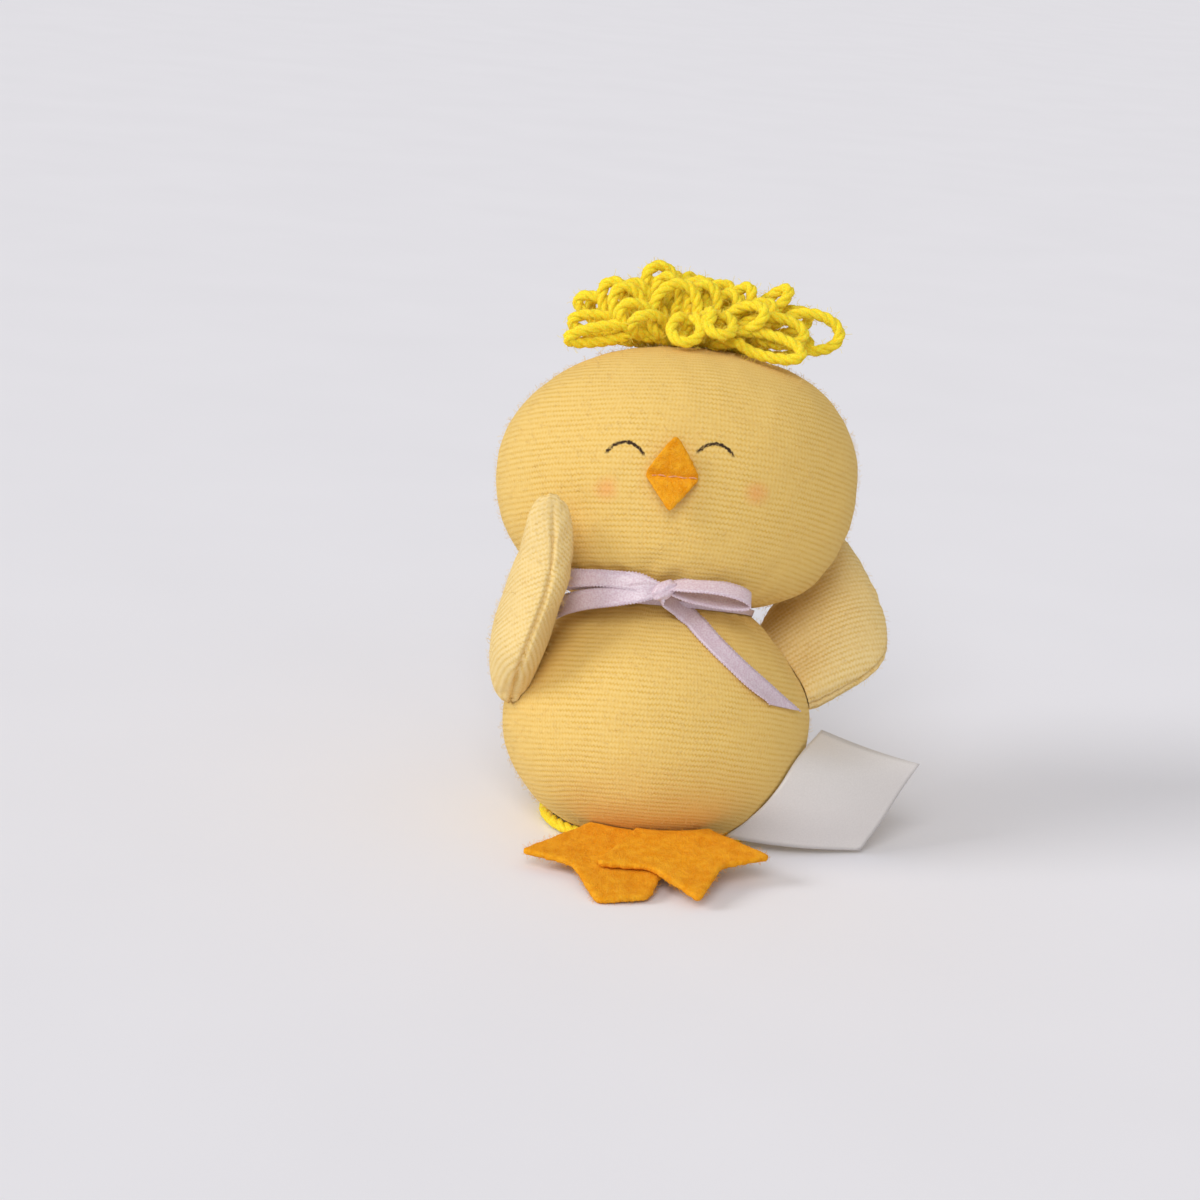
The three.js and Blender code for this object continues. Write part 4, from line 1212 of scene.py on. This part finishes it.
def make_foot(name, heel_offset, heel_height, turn_deg, curl, seed, front_toe):
    """curl lifts the right, middle and left toe. front_toe is the outline from the middle toe to the left."""
    toes = [polar(side_toe, -50), polar(notch, -23), *front_toe, polar(side_toe, 50)]
    sole = rounded(toes, (-heel_half, 0), (heel_half, 0), 1.8)
    obj = felt_plate(name + "_felt", [(heel_half, heel_depth), (-heel_half, heel_depth)] + sole, 0.4)
    points = coords(obj)
    reach = np.clip(np.hypot(points[:, 0], points[:, 1]) / 20 - 0.35, 0, 1)
    side = points[:, 0] / 15
    toe_shares = np.stack([np.clip(-side, 0, 1), 1 - np.abs(np.clip(side, -1, 1)), np.clip(side, 0, 1)], 1)
    points[:, 2] += reach * (toe_shares @ curl)
    points[:, 2] += 0.14 * lumps(points, 5, seed)
    points[:, :2] += 0.10 * np.stack([lumps(points, 1.7, seed + 1), lumps(points, 1.7, seed + 2)], 1)
    turned = np.array(Matrix.Rotation(foot_slope, 3, "X") @ Matrix.Rotation(math.radians(turn_deg), 3, "Z"))
    place = np.array((heel_offset, -16, heel_height))
    points = points @ turned.T + place
    bends[name] = (place + np.array([(0, 2, 0), (0, -7, 0)]) @ turned.T) * MM
    points[:, 2] = np.maximum(points[:, 2], 0.2)
    set_coords(obj, room_to_move(points, name, 0.25))
    obj.data.materials.append(felt.material)
    carry(obj, name)
    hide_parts(name)
    print(obj.name, len(obj.data.polygons), "faces")
    return obj


heel = 4.2
upper_heel = heel + felt_thickness / math.cos(foot_slope) + 0.3
right_toe = [polar(25.5, -2), polar(23.6, 19), polar(17, 32)]
left_toe = [polar(25.5, 0), polar(notch, 23)]
foot_right = make_foot("foot_right", -5.1, heel, -4, (0.6, -0.5, -0.3), 21, right_toe)
foot_left = make_foot("foot_left", 3.6, upper_heel, 13, (0.1, -0.2, 0.4), 25, left_toe)

# %% [markdown]
# The beak is one felt diamond, sewn to the face by a thread across its middle. Both halves stand off the face
# from there, so the piece is folded along that line and pressed in a little where the thread holds it.

# %% Felt: the beak, and its stitch
beak_fold = math.radians(18)
beak_corners = [(-2.6, 3.8), (-4.75, 0), (0, -6.6), (4.75, 0), (2.6, 3.8)]
beak = felt_plate("beak_felt", rounded(beak_corners, (-0.4, 6.9), (0.4, 6.9), 1.0), 0.28)
flat = coords(beak)
points = flat.copy()
points[:, 1] = flat[:, 1] * math.cos(beak_fold)
pressed = 0.35 * np.exp(-((flat[:, 1] / 0.6) ** 2))
points[:, 2] = flat[:, 2] + np.abs(flat[:, 1]) * math.sin(beak_fold) - pressed
points[:, 2] += 0.08 * lumps(flat, 2.2, 31)
points[:, :2] += 0.07 * np.stack([lumps(flat, 1.2, 32), lumps(flat, 1.2, 33)], 1)
beak_place = np.array((-1.4, -head["depth"] - 0.3, 40))
set_coords(beak, leaned(np.stack([points[:, 0], -points[:, 2], points[:, 1]], 1) + beak_place))
beak.data.materials.append(felt.material)
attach(beak, "head")
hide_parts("beak")

# Cotton thread, twisted: a fine, slightly uneven line, paler than the felt.
thread = Shader("cotton_thread", Roughness=0.8, Sheen_Weight=0.2)
thread_tone = thread("TexNoise", thread("TexCoord"), patches(0.4))
thread.takes("Base Color", thread("Mix", thread_tone, linear("#d98a4e"), linear("#efb78a")))
thread_values = {
    "Plies": 2, "Ply Radius": 0.09 * MM, "Ply Offset": 0.07 * MM, "Twist": 1 / (1.2 * MM),
    "Material": thread.material,
}
x = np.linspace(-3.4, 4.1, 40)
stitch_route = np.stack([x, -0.84 - 0.2 * np.cos(3.6 * x), 0.1 * np.sin(2.3 * x)], 1)
beak_stitch = spun("beak_stitch_thread", leaned(stitch_route + beak_place), thread_values)
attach(beak_stitch, "head")
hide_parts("beak_stitch")

# %% [markdown]
# The care label is a small sheet of white satin, sewn in at the side of the body and left blank. It is a grid
# between its sewn edge and its free edge, bowed a little, with a soft ripple.

# %% Satin label


def seen_near_body(pixel):
    """Where the camera's ray through a pixel first meets the body or, if it misses, where it is nearest."""
    spots = eye + np.arange(400, 560, 0.5)[:, None] * pixel_ray(*pixel)
    gaps = np.array([body_tree.find_nearest(Vector(spot * MM))[3] for spot in spots]) / MM
    met = np.nonzero(gaps < 0.5)[0]
    return spots[met[0] if len(met) else gaps.argmin()]


sewn_pixels = [(724, 837), (757, 812), (778, 788), (798, 757)]
sewn_corner = np.array((29.9, 1.9, 19.8))
end_low, end_high = np.array((38.5, -6.5, 0.7)), np.array((48, 1, 15.5))
columns, lines = 29, 25
sewn_edge = curve_through([*map(seen_near_body, sewn_pixels), sewn_corner], lines)
grid = []
for out in np.linspace(0, 1, columns):
    for up, sewn in zip(np.linspace(0, 1, lines), sewn_edge):
        place = sewn + (end_low + (end_high - end_low) * up - sewn) * out
        ripple = -1.6 * math.sin(math.pi * out) + 0.35 * math.sin(2.6 * math.pi * up + 2 * out) * out
        grid.append(place + (0, ripple, 0))
grid = kept_clear(grid, (body_tree,), 0.2)
label = new_object("satin_label", grid, sheet_faces(grid.reshape(columns, lines, 3)))
modified(label, "SOLIDIFY", thickness=0.25 * MM, offset=0)
# Satin tape, woven: white and smooth with a soft shine. Its threads are drawn coarse enough to show.
white = Shader("white_satin", Roughness=0.38, Sheen_Weight=0.2, Anisotropic=0.4)
white_weave = white("TexNoise", white("TexCoord"), patches(0.3), 3)
white.takes("Base Color", white("Mix", white_weave, linear("#d6d0cd"), linear("#e4dfdc")))
white.takes("Normal", white("Bump", white_weave, 0.05 * MM, 0.4))
label.data.materials.append(white.material)
sewn_middle, free_middle = sewn_edge[lines // 2], (end_low + end_high) / 2
sewn_way = sewn_edge[-1] - sewn_edge[0]
free_way = free_middle - sewn_middle
free_way -= sewn_way * (free_way @ sewn_way) / (sewn_way @ sewn_way)
bends["label"] = sewn_middle * MM, (sewn_middle + 0.35 * free_way) * MM
carry(label, "label")
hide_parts("care_label")
print("label's free edge", round(float(np.linalg.norm(end_high - end_low)), 1), "mm long")

# %% [markdown]
# Knit, yarn and felt all shed a few loose fibres, which soften their outlines. They follow a surface and are
# many, so a third tree scatters short bent fibres over it, each turned and sized by chance.

# %% A tree for loose fibres


def loose_fibres():
    sizes = {"Density": "Float", "Length": "Float", "Radius": "Float", "Seed": "Int"}
    tree, given = tree_with("loose_fibres", sizes)
    room = add_node(tree, "GeometryNodeInputNamedAttribute", {"Name": "room"}, data_type="FLOAT").outputs[0]
    thinned = {0: given["Density"], 1: room}
    density = add_node(tree, "ShaderNodeMath", thinned, operation="MULTIPLY").outputs[0]
    scattered = {"Mesh": given["Geometry"], "Density": density, "Seed": given["Seed"]}
    spots = add_node(tree, "GeometryNodeDistributePointsOnFaces", scattered)
    bent = {"Resolution": 3, "Start": (0, 0, -0.1), "Middle": (0.1, 0, 0.6), "End": (0.75, 0, 0.75)}
    line = add_node(tree, "GeometryNodeCurveQuadraticBezier", bent).outputs[0]
    relative = {0: given["Radius"], 1: given["Length"]}
    thin = add_node(tree, "ShaderNodeMath", relative, operation="DIVIDE").outputs[0]
    section = add_node(tree, "GeometryNodeCurvePrimitiveCircle", {"Resolution": 3, "Radius": thin}).outputs[0]
    fibre = add_node(tree, "GeometryNodeCurveToMesh", {"Curve": line, "Profile Curve": section}).outputs[0]
    any_way = {"Min": (-0.5, -0.5, 0), "Max": (0.5, 0.5, 2 * math.pi), "Seed": given["Seed"]}
    turn = add_node(tree, "FunctionNodeRandomValue", any_way, data_type="FLOAT_VECTOR").outputs[0]
    turned = {"Rotation": spots.outputs["Rotation"], "Rotate By": turn}
    facing = add_node(tree, "FunctionNodeRotateRotation", turned, rotation_space="LOCAL").outputs[0]
    any_size = {2: 0.5, 3: 1.3, "Seed": given["Seed"]}
    share = add_node(tree, "FunctionNodeRandomValue", any_size, data_type="FLOAT").outputs[1]
    length = add_node(tree, "ShaderNodeMath", {0: share, 1: given["Length"]}, operation="MULTIPLY").outputs[0]
    sown = {"Points": spots.outputs["Points"], "Instance": fibre, "Rotation": facing, "Scale": length}
    placed = add_node(tree, "GeometryNodeInstanceOnPoints", sown).outputs[0]
    return tree_end(tree, placed, given["Material"])


fibre_tree = loose_fibres()
print(fibre_tree.name, "has", len(fibre_tree.nodes), "nodes")

# %% [markdown]
# Fibres grow only where a piece has room round it, so that they don't poke into its neighbours. How much room
# there is at each point is kept on the mesh, and the tree reads it.

# %% Loose fibres on knit, yarn and felt


def fibre_material(name, dark, light):
    # Loose cotton or wool: single matt hairs, a little paler than what they come from.
    made = Shader(name, Roughness=0.9, Specular_IOR_Level=0.1)
    uneven = made("TexNoise", made("TexCoord"), patches(1.5))
    made.takes("Base Color", made("Mix", uneven, linear(dark), linear(light)))
    return made.material


def room_round(source, others, near, far):
    """0 where another piece is near a point of the source, 1 where it is far, kept on the mesh."""
    room = np.ones(len(source.data.vertices))
    for other in others:
        tree = search_tree(other)
        for i, vertex in enumerate(source.data.vertices):
            found = tree.find_nearest(vertex.co, far * MM)[3]
            if found is not None:
                room[i] = min(room[i], np.clip((found / MM - near) / (far - near), 0, 1))
    kept = source.data.attributes.new("room", "FLOAT", "POINT")
    kept.data.foreach_set("value", room)


knit_fibre = fibre_material("knit_fibre", "#e6c06c", "#f2d9a0")
yarn_fibre_wool = fibre_material("wool_fibre", "#ffdc28", "#fff27c")
felt_fibre_wool = fibre_material("felt_fibre", "#ee9d1c", "#f8b944")
wings = (wing_left, wing_right)
feet = (foot_right, foot_left)
bow = (satin_ribbon, satin_knot)
# The piece that fibres grow on, the pieces they keep away from, the body that carries them, the slot, the
# material, the fibres in a square millimetre, their length and the seed.
coats = [
    (head_knit, (body_knit, *wings, *bow, beak), "head", "knit", knit_fibre, 0.7, 0.8, 41),
    (body_knit, (head_knit, *wings, *bow, *feet, label), "body", "knit", knit_fibre, 0.7, 0.8, 42),
    (wing_left, (head_knit, body_knit), "wing_left", "knit", knit_fibre, 0.7, 0.8, 43),
    (wing_right, (head_knit, body_knit, *bow), "wing_right", "knit", knit_fibre, 0.7, 0.8, 44),
    (tuft_piece, (), "head", "yarn", yarn_fibre_wool, 0.66, 1.1, 45),
    (tail_piece, (body_knit, *feet), "body", "yarn", yarn_fibre_wool, 1.0, 0.9, 46),
    (foot_right, (body_knit, foot_left, tail_piece), "foot_right", "felt", felt_fibre_wool, 4.0, 0.7, 47),
    (foot_left, (body_knit, foot_right, tail_piece), "foot_left", "felt", felt_fibre_wool, 4.0, 0.7, 48),
    (beak, (head_knit,), "head", "felt", felt_fibre_wool, 4.0, 0.6, 49),
]
for source, others, body, slot, material, density, length, seed in coats:
    room_round(source, others, near=0.8, far=2.5)
    values = {"Density": density / MM**2, "Length": length * MM, "Radius": 0.025 * length * MM, "Seed": seed}
    piece = grown(source.name + "_fibres", source, fibre_tree, {**values, "Material": material})
    carry(piece, body)
